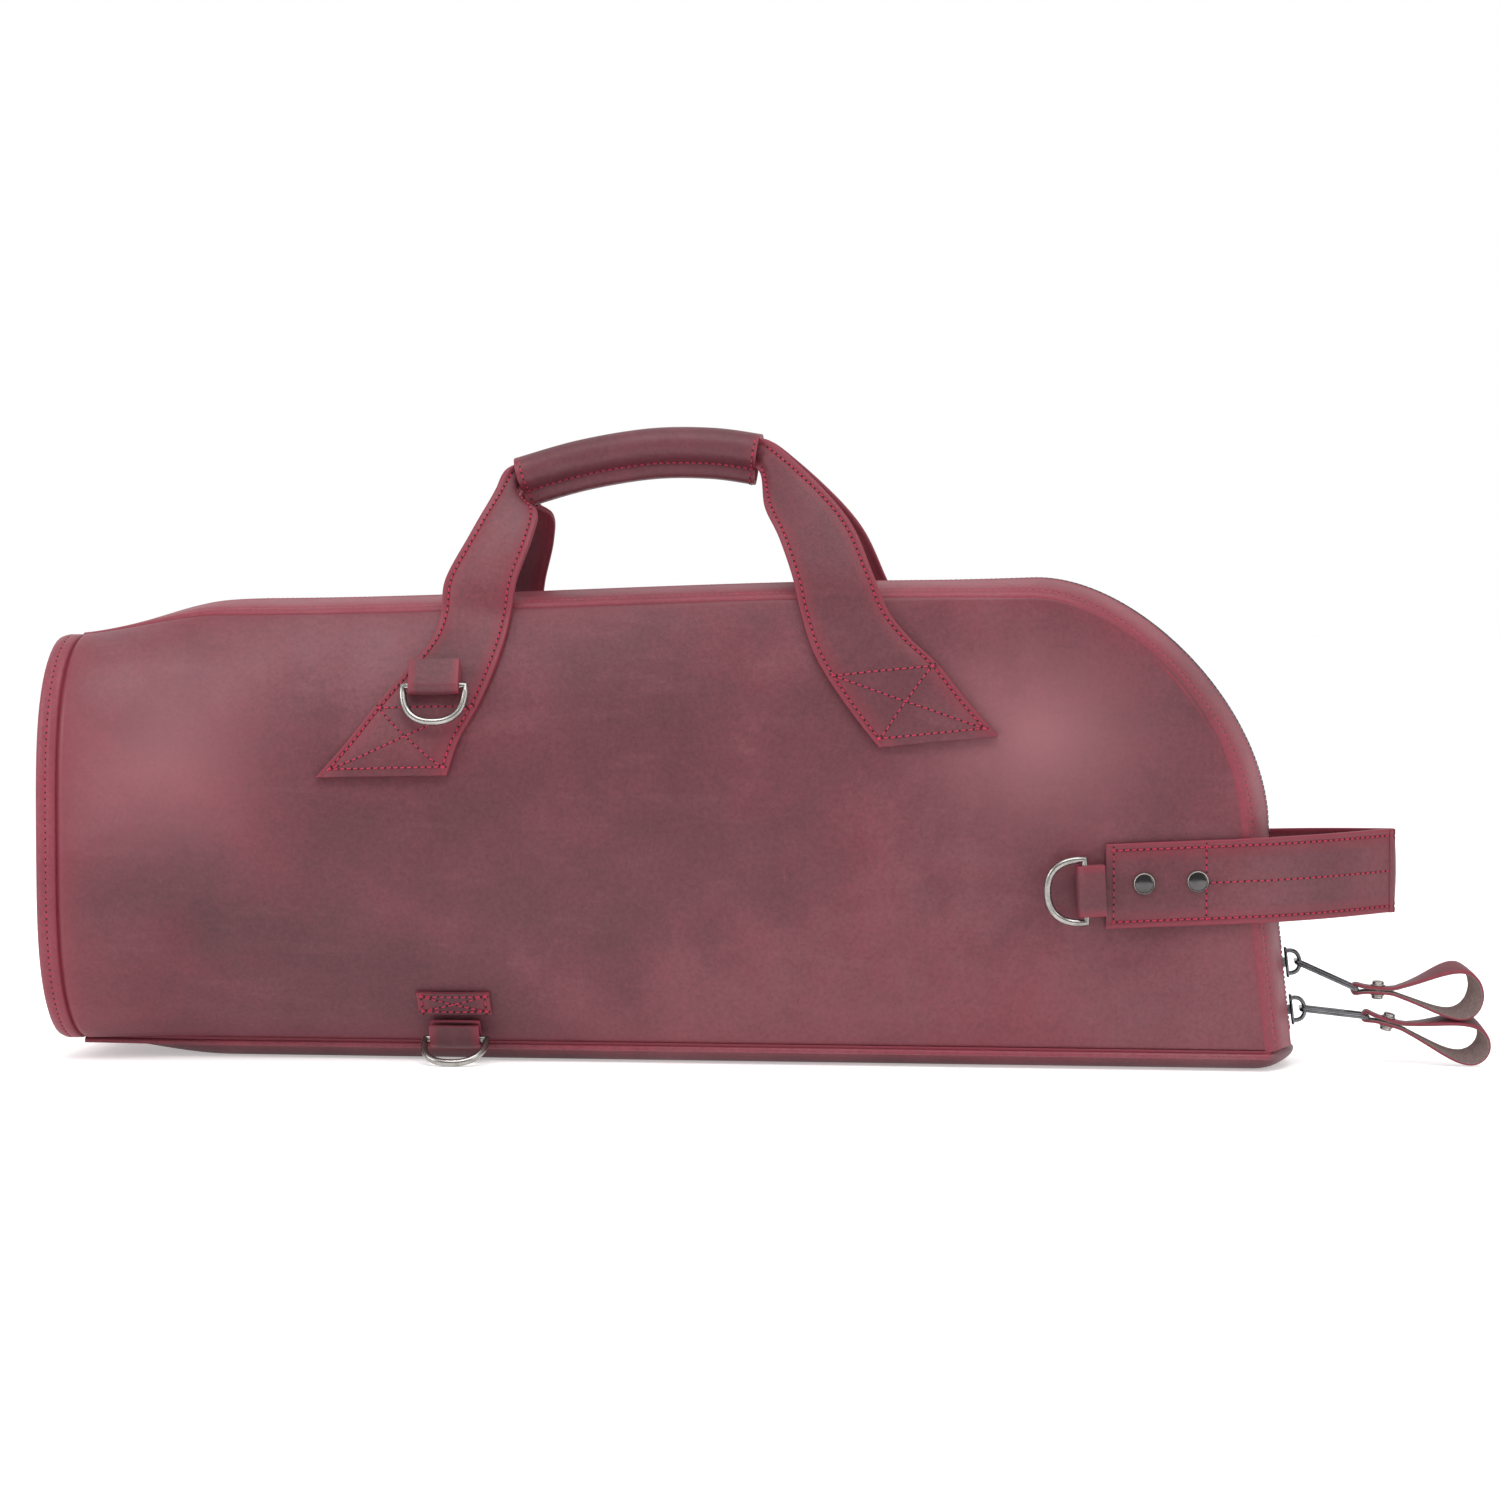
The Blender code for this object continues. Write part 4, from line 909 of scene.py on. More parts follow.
def placket_profile():
    """Section (distance from the middle, lift) of a placket: rolled seam edge, folded edge."""
    outer = [(PLACKET_SEAM, -0.0026), (PLACKET_SEAM - 0.0001, -0.0014),
             (PLACKET_SEAM - 0.0007, -0.0003), (PLACKET_SEAM - 0.0018, 0.0003)]
    for stitch in PLACKET_STITCH:
        outer += [(stitch + 0.0009, 0.0004), (stitch, 0.0000), (stitch - 0.0009, 0.0004)]
    fold = [(PLACKET_FOLD + 0.0008, 0.0003), (PLACKET_FOLD + 0.0002, -0.0001),
            (PLACKET_FOLD, -0.0007), (PLACKET_FOLD + 0.0002, -0.0013),
            (PLACKET_FOLD + 0.0008, -0.0016)]
    under = [(0.0190, -0.0016), (0.0280, -0.0016), (PLACKET_SEAM - 0.0016, -0.0022)]
    return outer + fold + under


def make_placket(word, side):
    profile = placket_profile()
    shares = np.linspace(0.0, PLACKET_END, 200)
    sections = np.stack([gusset_point(shares, side * y, lift) for y, lift in profile], axis=1)
    wear = [math.exp(-abs(PLACKET_SEAM - y) / 0.003) + math.exp(-abs(PLACKET_FOLD - y) / 0.002)
            for y, lift in profile]
    mesh = loft(word + "_placket", sections, np.clip(wear, 0, 1))
    blend = SHELL_BLEND if side < 0 else None
    piece(word + "_placket", mesh, LOOKS["placket"], "root", "trim_leather",
          (word + "_zip_placket",), blend)
    for y in PLACKET_STITCH:
        fine = np.linspace(0.004, PLACKET_END - 0.004, 400)
        line = gusset_point(fine, side * y, 0.0)
        sew("front shell" if side < 0 else "root", line, gusset_frame(fine)[2])


BINDING_STITCH = 0.0052        # along X from the cap's face
BINDING_LIP = 0.0068           # how far the binding reaches over the cap's face


def make_binding():
    """The leather binding round the wide end: over the rim from the cap's face to the body."""
    profile = [(BINDING_WIDTH + 0.0004, 0.0018), (BINDING_WIDTH, 0.0005),
               (BINDING_WIDTH - 0.0007, 0.0), (BINDING_STITCH + 0.0009, -0.0001),
               (BINDING_STITCH, 0.0003), (BINDING_STITCH - 0.0009, -0.0001), (0.0024, 0.0002),
               (0.0008, 0.0009), (0.0, 0.0026), (-0.0001, 0.0042), (0.0, BINDING_LIP - 0.0008),
               (0.0007, BINDING_LIP), (0.0022, BINDING_LIP), (0.0024, 0.0030), (0.0045, 0.0020),
               (BINDING_WIDTH - 0.001, 0.0022)]
    rings = [cap_loop(CAP_X + x, inset)[0] for x, inset in profile]
    sections = np.stack(rings, axis=1)
    wear = [1.0 if x > 0.008 or inset > 0.005 else 0.35 for x, inset in profile]
    mesh = loft("cap_binding", sections, wear, closed=True)
    piece("cap_binding", mesh, LOOKS["placket"], "root", "trim_leather", ("end_cap_binding",))
    ring, outward = cap_loop(CAP_X + BINDING_STITCH, 0.0003)
    close = np.concatenate([ring, ring[:1]])
    sew("root", close, np.concatenate([outward, outward[:1]]))


def make_cap():
    """The padded cap of the wide end: a shallow cushion inside the binding's lip."""
    ring = cap_loop(CAP_X, BINDING_LIP - 0.0012)[0]
    middle = ring.mean(axis=0)
    shares = np.array([1.0, 0.985, 0.96, 0.92, 0.86, 0.78, 0.66, 0.5, 0.34, 0.18, 0.06])
    domes = -0.0022 * (1 - shares ** 6) + 0.0018 * np.exp(-((1 - shares) / 0.012) ** 2)
    outer = np.stack([middle + (ring - middle) * s + np.array([dome, 0, 0])
                      for s, dome in zip(shares, domes)])
    outer[..., 0] += 0.0004 * np.sin(60 * outer[..., 1] + 1) * np.sin(52 * outer[..., 2])
    back = outer[::-1] + np.array([LEATHER, 0, 0])
    points = np.concatenate([outer, back]).reshape(-1, 3)
    wide = len(ring)
    rows = 2 * len(shares)
    faces = quads(rows, wide, True)
    faces += [((rows - 1) * wide + k, (rows - 1) * wide + (k + 1) % wide, (k + 1) % wide, k)
              for k in range(wide)]
    inner_ring = (len(shares) - 1) * wide
    faces = [f for f in faces if not (inner_ring <= min(f) and max(f) < inner_ring + 2 * wide)]
    faces += [tuple(range(inner_ring, inner_ring + wide)),
              tuple(range(inner_ring + 2 * wide - 1, inner_ring + wide - 1, -1))]
    wear = np.repeat(np.concatenate([np.exp(-(1 - shares) / 0.05),
                                     np.exp(-(1 - shares[::-1]) / 0.05)]), wide)
    mesh = face_outwards(new_mesh("cap_panel", points, faces, wear))
    piece("cap_panel", mesh, LOOKS["body"], "root", "body_leather", ("end_cap",))


BOTTOM_FLAT = 0.022            # half width that rests flat
FOOT_RUN = 0.008
FOOT_SHARE = 0.9               # share of the run where the foot starts to turn up


def bottom_point(k, y):
    """Underside of the bottom panel at share k of its run, y across; it turns up at the foot."""
    k, y = np.broadcast_arrays(np.asarray(k, float), np.asarray(y, float))
    rolled = (np.abs(y) - BOTTOM_FLAT) / (GUSSET_HALF - BOTTOM_FLAT)
    lift = np.maximum(0.0, rolled) ** 1.8
    bend = TIP_X - FOOT_RUN
    turn = np.clip((k - FOOT_SHARE) / (1 - FOOT_SHARE), 0, 1) * math.pi / 2
    x = mix(BODY_START, bend, np.clip(k / FOOT_SHARE, 0, 1))
    low = mix(0.0, CAP_LOW - CAP_CROWN, cap_share(x))
    z = mix(low, section_base(x) - 0.0003, lift)
    x_end = TIP_X + END_CROWN * (1 - (y / GUSSET_HALF) ** 2)
    z_end = mix(z, SEAM_LOW - 0.0002, 1 - np.cos(turn))
    turning = turn > 0
    return np.stack([np.where(turning, mix(bend, x_end, np.sin(turn)), x), y,
                     np.where(turning, z_end, z)], axis=-1)


def make_bottom():
    """The bottom gusset, with a piped seam along each side."""
    share, across = np.meshgrid(np.linspace(0, 1, 120), (clustered(24) * 2 - 1) * GUSSET_HALF)
    outer = bottom_point(share, across)
    inner = outer + np.array([0, 0, LEATHER * 0.9])
    inner[..., 0] -= LEATHER * 0.9 * np.clip((share - FOOT_SHARE) / (1 - FOOT_SHARE), 0, 1)
    edge = np.exp(-(GUSSET_HALF - np.abs(across)) / 0.002)
    mesh = shell("bottom_gusset", outer, inner, edge, 1)
    piece("bottom_gusset", mesh, [LOOKS["trim"], LOOKS["flesh"]], "root", "body_leather",
          ("bottom_panel",))
    shares = np.linspace(0.0, 0.97, 180)
    for side in (-1, 1):
        cord = bottom_point(shares, side * GUSSET_HALF)
        cord[:, 1] = side * (GUSSET_HALF + 0.0001)
        cord[:, 2] -= 0.0008
        grown_piece(("front" if side < 0 else "back") + "_bottom_piping", "Wire",
                    [(cord, np.tile((0.0, float(side), 0.0), (len(cord), 1)))],
                    {"Radius": 0.0013, "Sides": 10, "Finish": LOOKS["placket"]},
                    body="root", slot="trim_leather")


# ---- inside: foam, cloth and boards ----
def make_padding(word, side):
    """Foam between the leather and the lining, thinner towards its trimmed edges."""
    share_a, share_b = np.meshgrid(np.linspace(0.016, 0.972, 60), np.linspace(0.03, 0.97, 30))
    near = np.minimum(np.minimum(share_b - 0.03, 0.97 - share_b) * 0.2,
                      np.minimum(share_a - 0.016, 0.972 - share_a) * 0.55)
    thick = mix(0.0020, 0.0056, smooth(near / 0.012))
    outer = panel_point(share_a, share_b, LEATHER + 0.0012, side)
    inner = panel_point(share_a, share_b, LEATHER + 0.0012 + thick, side)
    mesh = shell(word + "_foam", outer, inner)
    obj = piece(word + "_foam", mesh, LOOKS["foam"], "root", "foam", (word + "_padding",),
                SHELL_BLEND if side < 0 else None)


def lining_depth(share_a, share_b):
    """Depth of the lining's face: soft channels where it is caught down to the foam."""
    quilt = 0.0007 * np.sin(18 * math.pi * share_a) ** 2 * np.sin(7 * math.pi * share_b) ** 2
    return LEATHER + 0.0089 + quilt


def make_lining(word, side):
    share_a, share_b = np.meshgrid(np.linspace(0.018, 0.968, 150), np.linspace(0.034, 0.966, 70))
    depth = lining_depth(share_a, share_b)
    outer = panel_point(share_a, share_b, depth, side)
    inner = panel_point(share_a, share_b, depth + 0.0006, side)
    mesh = shell(word + "_cloth_lining", outer, inner)
    obj = piece(word + "_cloth_lining", mesh, LOOKS["lining"], "root", "lining_cloth",
                (word + "_lining",), SHELL_BLEND if side < 0 else None)


def make_end_padding():
    """Foam and cloth behind the wide end's board."""
    board_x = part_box("end_cap_board")[1].x
    for name, look, slot, node, start, thick in (
            ("cap_foam", "foam", "foam", "end_cap_padding", board_x + 0.0004, 0.0046),
            ("cap_cloth_lining", "lining", "lining_cloth", "end_cap_lining", board_x + 0.0056,
             0.0008)):
        ring = cap_loop(start, 0.0112)[0]
        middle = ring.mean(axis=0)
        shares = np.array([0.004, 0.3, 0.6, 0.85, 0.96, 1.0])
        near = np.stack([middle + (ring - middle) * s for s in shares])
        far = near + np.array([thick, 0, 0])
        far[..., 0] -= (thick * 0.35 * np.clip((shares - 0.9) / 0.1, 0, 1))[:, None]
        sections = np.concatenate([near, far[::-1]])
        mesh = loft(name, sections)
        obj = piece(name, mesh, LOOKS[look], "root", slot, (node,))


def make_boards():
    """The boards keep their CAD shape; the bottom's cloth is a thin sheet over its board."""
    for node in ("bottom_board", "end_cap_board"):
        frame["nodes"][node].data.materials.clear()
        frame["nodes"][node].data.materials.append(LOOKS["board"])
    low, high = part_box("bottom_lining")
    x, y = np.meshgrid(np.linspace(low.x, high.x, 80), np.linspace(low.y, high.y, 14))
    z = low.z + 0.0002 * np.sin(70 * x) * np.sin(160 * y)
    under = np.stack([x, y, z], axis=-1)
    over = under + np.array([0, 0, 0.0006])
    mesh = shell("bottom_cloth_lining", under, over)
    obj = piece("bottom_cloth_lining", mesh, LOOKS["lining"], "root", "lining_cloth",
                ("bottom_lining",))


# ---- zip ----
UPPER_Z = 0.0450               # seam height at each slider
LOWER_Z = 0.0235
TEETH_SPREAD = 0.0021
TEETH_ROW = 0.0025             # middle of a row, across from the zip's middle line
TEETH_LIFT = -0.0017
SLIDER_TOP = 0.0003            # underside of the outer plate, over the gusset's face
SLIDER_LOW = -0.0049           # upper face of the inner plate
SLIDER_PLATE = 0.0012
SLIDER_LONG = 0.0140
SLIDER_WIDE = 0.0120
POST_LONG = 0.0044
POST_WIDE = 0.0004             # thin enough to pass between the closed rows
BAIL_REACH = 0.0052
BAIL_TOP = 0.0068


def end_share(z):
    return 1 - (z - SEAM_LOW) / PATH_LENGTH


def parting(share):
    """How far the teeth are parted: only between the two sliders."""
    reach = 0.012 / PATH_LENGTH
    return TEETH_SPREAD * smooth((share - end_share(UPPER_Z) + reach) / (0.6 * reach)) * smooth(
        (end_share(LOWER_Z) + reach - share) / (0.6 * reach))


def make_zip(word, side):
    """Woven tape and its row of metal teeth, from the cap to the foot."""
    shares = np.linspace(0.004, PLACKET_END - 0.003, 260)
    apart = parting(shares)
    profile = [(0.0018, -0.0031), (0.0028, -0.0030), (0.0100, -0.0030), (0.0175, -0.0030),
               (0.0181, -0.0034), (0.0175, -0.0038), (0.0100, -0.0038), (0.0018, -0.0037)]
    sections = np.stack([gusset_point(shares, side * (y + (apart if y < 0.004 else 0.0)), lift)
                         for y, lift in profile], axis=1)
    blend = SHELL_BLEND if side < 0 else None
    piece(word + "_tape", loft(word + "_tape", sections), LOOKS["tape"], "root", "zip_tape",
          (word + "_zip_tape",), blend)
    fine = np.linspace(0.008, PLACKET_END - 0.010, 900)
    line = gusset_point(fine, side * (TEETH_ROW + parting(fine)), TEETH_LIFT)
    teeth = bpy.context.scene.gig_zip
    settings = {"Pitch": teeth.pitch, "Shift": 0.0 if side < 0 else teeth.pitch / 2,
                "Height": teeth.height, "Finish": LOOKS["gunmetal"]}
    outward = gusset_frame(fine)[2]
    if side < 0:
        line, outward = line[::-1], outward[::-1]
    grown_piece(word + "_teeth", "Teeth", [(line, outward)], settings, body="root",
                slot="zip_metal", replaces=(word + "_zip_teeth",), blend=blend)


def joined(name, meshes):
    points, faces = [], []
    for mesh in meshes:
        first = len(points)
        points += [tuple(v.co) for v in mesh.vertices]
        faces += [tuple(first + v for v in face.vertices) for face in mesh.polygons]
        bpy.data.meshes.remove(mesh)
    made = new_mesh(name, points, faces)
    made.set_sharp_from_angle(angle=math.radians(50))
    return made


def make_slider(name, height, body, node):
    """A zip slider: two plates joined by a post, and a tall bail that holds the pull's link."""
    share = np.array([end_share(height)])
    run, outward = (v[0] for v in gusset_frame(share)[1:])
    crown = gusset_point(share, 0.0, 0.0)[0]
    base = np.column_stack([run, (0, 1, 0), outward])

    def at(x, y, z):
        return crown + base @ np.array([x, y, z])

    def slab(low):
        high, off = low + SLIDER_PLATE, 0.0004
        sections = []
        for z, shrink in ((low, off), (low + off, 0.0), (high - off, 0.0), (high, off)):
            ring = []
            for k in range(32):
                c, s = math.cos(math.pi * k / 16), math.sin(math.pi * k / 16)
                taper = 1 - 0.2 * max(0.0, -c)
                ring.append(at((SLIDER_LONG / 2 - shrink) * math.copysign(abs(c) ** 0.5, c),
                               (SLIDER_WIDE / 2 - shrink) * taper
                               * math.copysign(abs(s) ** 0.5, s), z))
            sections.append(ring)
        return loft(name, np.array(sections))

    post = np.array([[at(POST_LONG / 2 * c, POST_WIDE / 2 * s, z)
                      for c, s in ((-1, -1), (1, -1), (1, 1), (-1, 1))]
                     for z in (SLIDER_LOW - 0.0002, SLIDER_TOP + 0.0002)])
    angles = np.linspace(0, math.pi, 19)
    arch = np.stack([-BAIL_REACH * np.cos(angles), SLIDER_TOP + 0.0008
                     + (BAIL_TOP - SLIDER_TOP - 0.0008) * np.sin(angles) ** 0.6], axis=1)
    turn = unit(np.gradient(arch, axis=0))
    bail = np.array([[at(x - n[1] * h, w, z + n[0] * h)
                      for w, h in ((-0.0016, -0.0004), (-0.0011, -0.0009), (0.0011, -0.0009),
                                   (0.0016, -0.0004), (0.0016, 0.0004), (0.0011, 0.0009),
                                   (-0.0011, 0.0009), (-0.0016, 0.0004))]
                     for (x, z), n in zip(arch, turn)])
    mesh = joined(name, [slab(SLIDER_TOP), slab(SLIDER_LOW - SLIDER_PLATE), loft(name, post),
                         loft(name, bail)])
    piece(name, mesh, LOOKS["gunmetal"], body, "gunmetal", (node,))


# ---- handle ----
LEFT_LAID = [(-0.151, 0.131, -0.092, 0.132), (-0.138, 0.146, -0.087, 0.148),
             (-0.126, 0.162, -0.079, 0.163), (-0.113, 0.178, -0.073, 0.178),
             (-0.103, 0.192, -0.069, 0.192)]
LEFT_FREE = [(-0.0995, 0.0415, 0.206, -0.067, 0.206), (-0.098, 0.0385, 0.221, -0.065, 0.221),
             (-0.0885, 0.0310, 0.241, -0.0595, 0.240), (-0.0810, 0.0215, 0.257, -0.0585, 0.253),
             (-0.0728, 0.0098, 0.2730, -0.0692, 0.2592), (-0.0610, 0.0080, 0.2750, -0.0640, 0.2665)]
RIGHT_LAID = [(0.101, 0.145, 0.154, 0.150), (0.089, 0.160, 0.140, 0.166),
              (0.077, 0.177, 0.127, 0.182), (0.070, 0.190, 0.115, 0.193)]
RIGHT_FREE = [(0.065, 0.0413, 0.206, 0.105, 0.206), (0.0610, 0.0385, 0.222, 0.098, 0.222),
              (0.0540, 0.0310, 0.240, 0.087, 0.246), (0.0465, 0.0220, 0.254, 0.069, 0.2665),
              (0.0432, 0.0098, 0.2692, 0.0470, 0.2845), (0.0370, 0.0080, 0.2750, 0.0370, 0.2840)]
STRAP_CROWN = 0.0010
STRAP_LIFT = STRAP_THICK + 0.0003
GRIP_PATH = [(-0.0690, 0.2665), (-0.0400, 0.2745), (-0.0080, 0.2795), (0.0200, 0.2795),
             (0.0415, 0.2765)]
GRIP_SECTION = [(0, 11.5), (5.5, 10.7), (9.4, 7.6), (10.9, 3.2), (10.2, -1.0), (7.4, -4.0),
                (5.2, -5.2), (5.3, -6.6), (5.0, -9.4), (3.4, -11.6), (0, -12.2)]   # half, in mm
GRIP_SEAM = 5.2                # depth of its sewn seam, in mm
GRIP_FLARE = 0.17              # how much wider the sleeve is at its ends
CORE_RADIUS = 0.0064
CORE_RISE = 0.0026


def make_leg(word, name, laid, free, side):
    """One end of a handle strap: sewn flat to the panel, then free up to the grip."""
    left = [on_panel(x, z, side, STRAP_LIFT) for x, z, _, _ in laid]
    right = [on_panel(x, z, side, STRAP_LIFT) for _, _, x, z in laid]
    left += [np.array((x, side * y, z)) for x, y, z, _, _ in free]
    right += [np.array((x, side * y, z)) for _, y, _, x, z in free]
    steps = np.linspace(0, 1, 90)
    lefts, rights = catmull(left, steps), catmull(right, steps)
    flip = side > 0
    mesh = band(word + name, lefts, rights, STRAP_THICK, flip, crown=STRAP_CROWN)
    blend = STRAP_BLEND if side < 0 else None
    piece(word + name, mesh, LOOKS["trim"], "root", "trim_leather", (word + name,), blend)
    group = "front legs" if side < 0 else "root"
    sewn = 1.95 / (len(left) - 1)
    last = (len(left) - 2.1) / (len(left) - 1)
    low = 0.030 if len(laid) == 5 else 0.034
    for start, stop in (((low, -1), (last, -1)), ((low, 1), (last, 1)), ((low, -1), (low, 1)),
                        ((sewn, -1), (sewn, 1)), ((low, -1), (sewn, 1)), ((low, 1), (sewn, -1))):
        line, out = band_line(lefts, rights, flip, start, stop, STRAP_CROWN)
        sew(group, line, out)


def make_grip():
    """A leather sleeve sewn closed along a flange below, round a foam core."""
    half = catmull(GRIP_SECTION, np.linspace(0, 1, 30)) / 1000
    ring = np.concatenate([half, half[-2:0:-1] * np.array([-1, 1])])
    path = np.array([(x, 0, z) for x, z in GRIP_PATH])
    shares = np.linspace(0, 1, 60)
    spots = catmull(path, shares)
    runs = unit(np.gradient(spots, axis=0))
    ups = np.stack([-runs[:, 2], runs[:, 1], runs[:, 0]], axis=1)
    wide = 1 + GRIP_FLARE * np.exp(-np.minimum(shares, 1 - shares) / 0.07)

    def sections(factor):
        across = ring[None, :, 0:1] * wide[:, None, None] * np.array([0, factor, 0])
        return spots[:, None] + across + ring[None, :, 1:2] * factor * ups[:, None]

    ends = np.exp(-np.minimum(shares, 1 - shares) / 0.03)
    mesh = loft("grip_sleeve", np.concatenate([sections(1.0), sections(0.84)[::-1]]), closed=True)
    wear = np.repeat(np.concatenate([ends, ends[::-1]]), len(ring))
    attribute = mesh.attributes.new("edge", "FLOAT", "POINT")
    attribute.data.foreach_set("value", wear.astype(np.float32))
    piece("grip_sleeve", mesh, LOOKS["trim"], "root", "trim_leather", ("handle_grip_wrap",))
    core = np.array([[spot + up * (CORE_RISE + CORE_RADIUS * math.sin(a))
                      + np.array([0, CORE_RADIUS * math.cos(a), 0])
                      for a in np.linspace(0, 2 * math.pi, 20, endpoint=False)]
                     for spot, up in zip(spots[2:-2], ups[2:-2])])
    padding = piece("grip_foam", loft("grip_foam", core), LOOKS["foam"], "root", "foam",
                    ("handle_core",))
    for side in (-1, 1):
        seam = spots - ups * GRIP_SEAM / 1000
        seam[:, 1] = side * 0.0053 * wide
        sew("root", seam[2:-2], np.tile((0.0, side, 0.0), (len(seam) - 4, 1)))
        for k in (2, -3):
            rim = np.stack([spots[k] + ups[k] * high + np.array([0, side * out * wide[k], 0])
                            for out, high in half[6:26]])
            sew("root", rim, unit(rim - spots[k]))


# ---- end loop ----
LOOP_START = 0.202
LOOP_LEAVE = 0.266
LOOP_FOLD = 0.3285
LOOP_BELLY = 0.006
LOOP_TURN = 0.0036
LOOP_HALF = 0.019
LOOP_LOW = 0.0830
LOOP_HIGH = 0.0885
LOOP_CROWN = 0.0006
LOOP_SEWN = (0.024, 0.28, 0.80)    # shares along it: first row, end of the sewn part, last row
STUD_SPOTS = ((0.2190, 0.0845, "outer"), (0.2430, 0.0855, "inner"))


def make_loop(side):
    """One half of the narrow end's loop of strap, up to the fold at its far end."""
    places = [(x, mix(LOOP_LOW, LOOP_HIGH, (x - LOOP_START) / (LOOP_FOLD - LOOP_START)))
              for x in np.linspace(LOOP_START, LOOP_LEAVE, 9)]
    spots = [on_panel(x, z, side, STRAP_LIFT + 0.0006) for x, z in places]
    leave = abs(spots[-1][1])
    for t in np.linspace(0, 1, 9)[1:]:
        x = mix(LOOP_LEAVE, LOOP_FOLD, t)
        y = mix(leave, LOOP_TURN, t) + LOOP_BELLY * math.sin(math.pi * t)
        z = mix(LOOP_LOW, LOOP_HIGH, (x - LOOP_START) / (LOOP_FOLD - LOOP_START))
        spots.append(np.array((x, side * y, z)))
    for turn in np.linspace(0, math.pi / 2, 5)[1:]:
        spots.append(np.array((LOOP_FOLD + LOOP_TURN * math.sin(turn),
                               side * LOOP_TURN * math.cos(turn), LOOP_HIGH)))
    spots = catmull(spots, np.linspace(0, 1, 110))
    tall = np.array([0, 0, LOOP_HALF])
    lefts, rights = spots - tall, spots + tall
    word = "front" if side < 0 else "back"
    flip = side < 0
    mesh = band(word + "_loop_strap", lefts, rights, STRAP_THICK, flip, crown=LOOP_CROWN)
    blend = LOOP_BLEND if side < 0 else None
    piece(word + "_loop_strap", mesh, LOOKS["trim"], "root", "trim_leather",
          ("end_loop_" + word,), blend)
    group = "front loop" if side < 0 else "root"
    low, sewn, last = LOOP_SEWN
    for start, stop in (((low, -1), (last, -1)), ((low, 1), (last, 1)), ((low, -1), (low, 1)),
                        ((sewn, -1), (sewn, 1)), ((sewn, 0), (last, 0))):
        line, out = band_line(lefts, rights, flip, start, stop, LOOP_CROWN)
        sew(group, line, out)


def facing(spot, normal):
    turn = Vector(normal).to_track_quat("Z", "Y").to_matrix().to_4x4()
    return Matrix.Translation(Vector(spot)) @ turn


def make_studs():
    """Screwed studs through the loop: a bright rim round a dark polished dome."""
    for x, z, word in STUD_SPOTS:
        place = facing(on_panel(x, z, -1, STRAP_LIFT + 0.0012), panel_normal(x, z, -1))
        rim = lathe("stud_rim_" + word, [
            (0.0020, -0.0030), (0.0046, -0.0004), (0.0049, 0.0002), (0.0049, 0.0012),
            (0.0046, 0.0015), (0.0043, 0.0014), (0.0042, 0.0009)], place)
        piece("stud_rim_" + word, rim, LOOKS["nickel"], "front_side", "nickel",
              ("loop_stud_" + word,))
        dome = lathe("stud_dome_" + word, [
            (0.0042, 0.0003), (0.0042, 0.0011), (0.0036, 0.0014), (0.0022, 0.0016),
            (0.0006, 0.0017)], place)
        piece("stud_dome_" + word, dome, LOOKS["dark_steel"], "front_side", "gunmetal")


# ---- rings, tabs and patch ----
RING_HALF = 0.01415
RING_DEPTH = 0.0160
RING_WIRE = 0.00165
TAB_HALF = 0.0115
TAB_THICK = 0.0016
TAB_OUTER = RING_WIRE + 0.0006 + TAB_THICK
TAB_FLAT = 0.0009 + TAB_THICK
RINGS = {   # bow direction, direction off the tab's sewn end, tab length
    "upper": ((0.03192, -0.34389, -0.93847), (0.03192, -0.34389, -0.93847), 0.0120),
    "end": ((-0.99373, -0.10381, -0.04141), (-0.99373, -0.10381, -0.04141), 0.0088),
    "lower": ((0.0, -0.83736, -0.54665), None, 0.0085),
}


def joint_at(name):
    found = next(j for j in frame["joints"] if j["name"] == name)
    return found["pos_m"], found["axis"]


def ring_frame(origin, along, away):
    """Frame whose X is the ring's bar and whose -Y is its bow."""
    x = Vector(along).normalized()
    y = -Vector(away)
    y = (y - x * y.dot(x)).normalized()
    turn = Matrix((x, y, x.cross(y))).transposed().to_4x4()
    return Matrix.Translation(Vector(origin)) @ turn


def moved(matrix, points):
    """Rows of points in a frame, as an array."""
    return np.array([matrix @ Vector(p) for p in points])


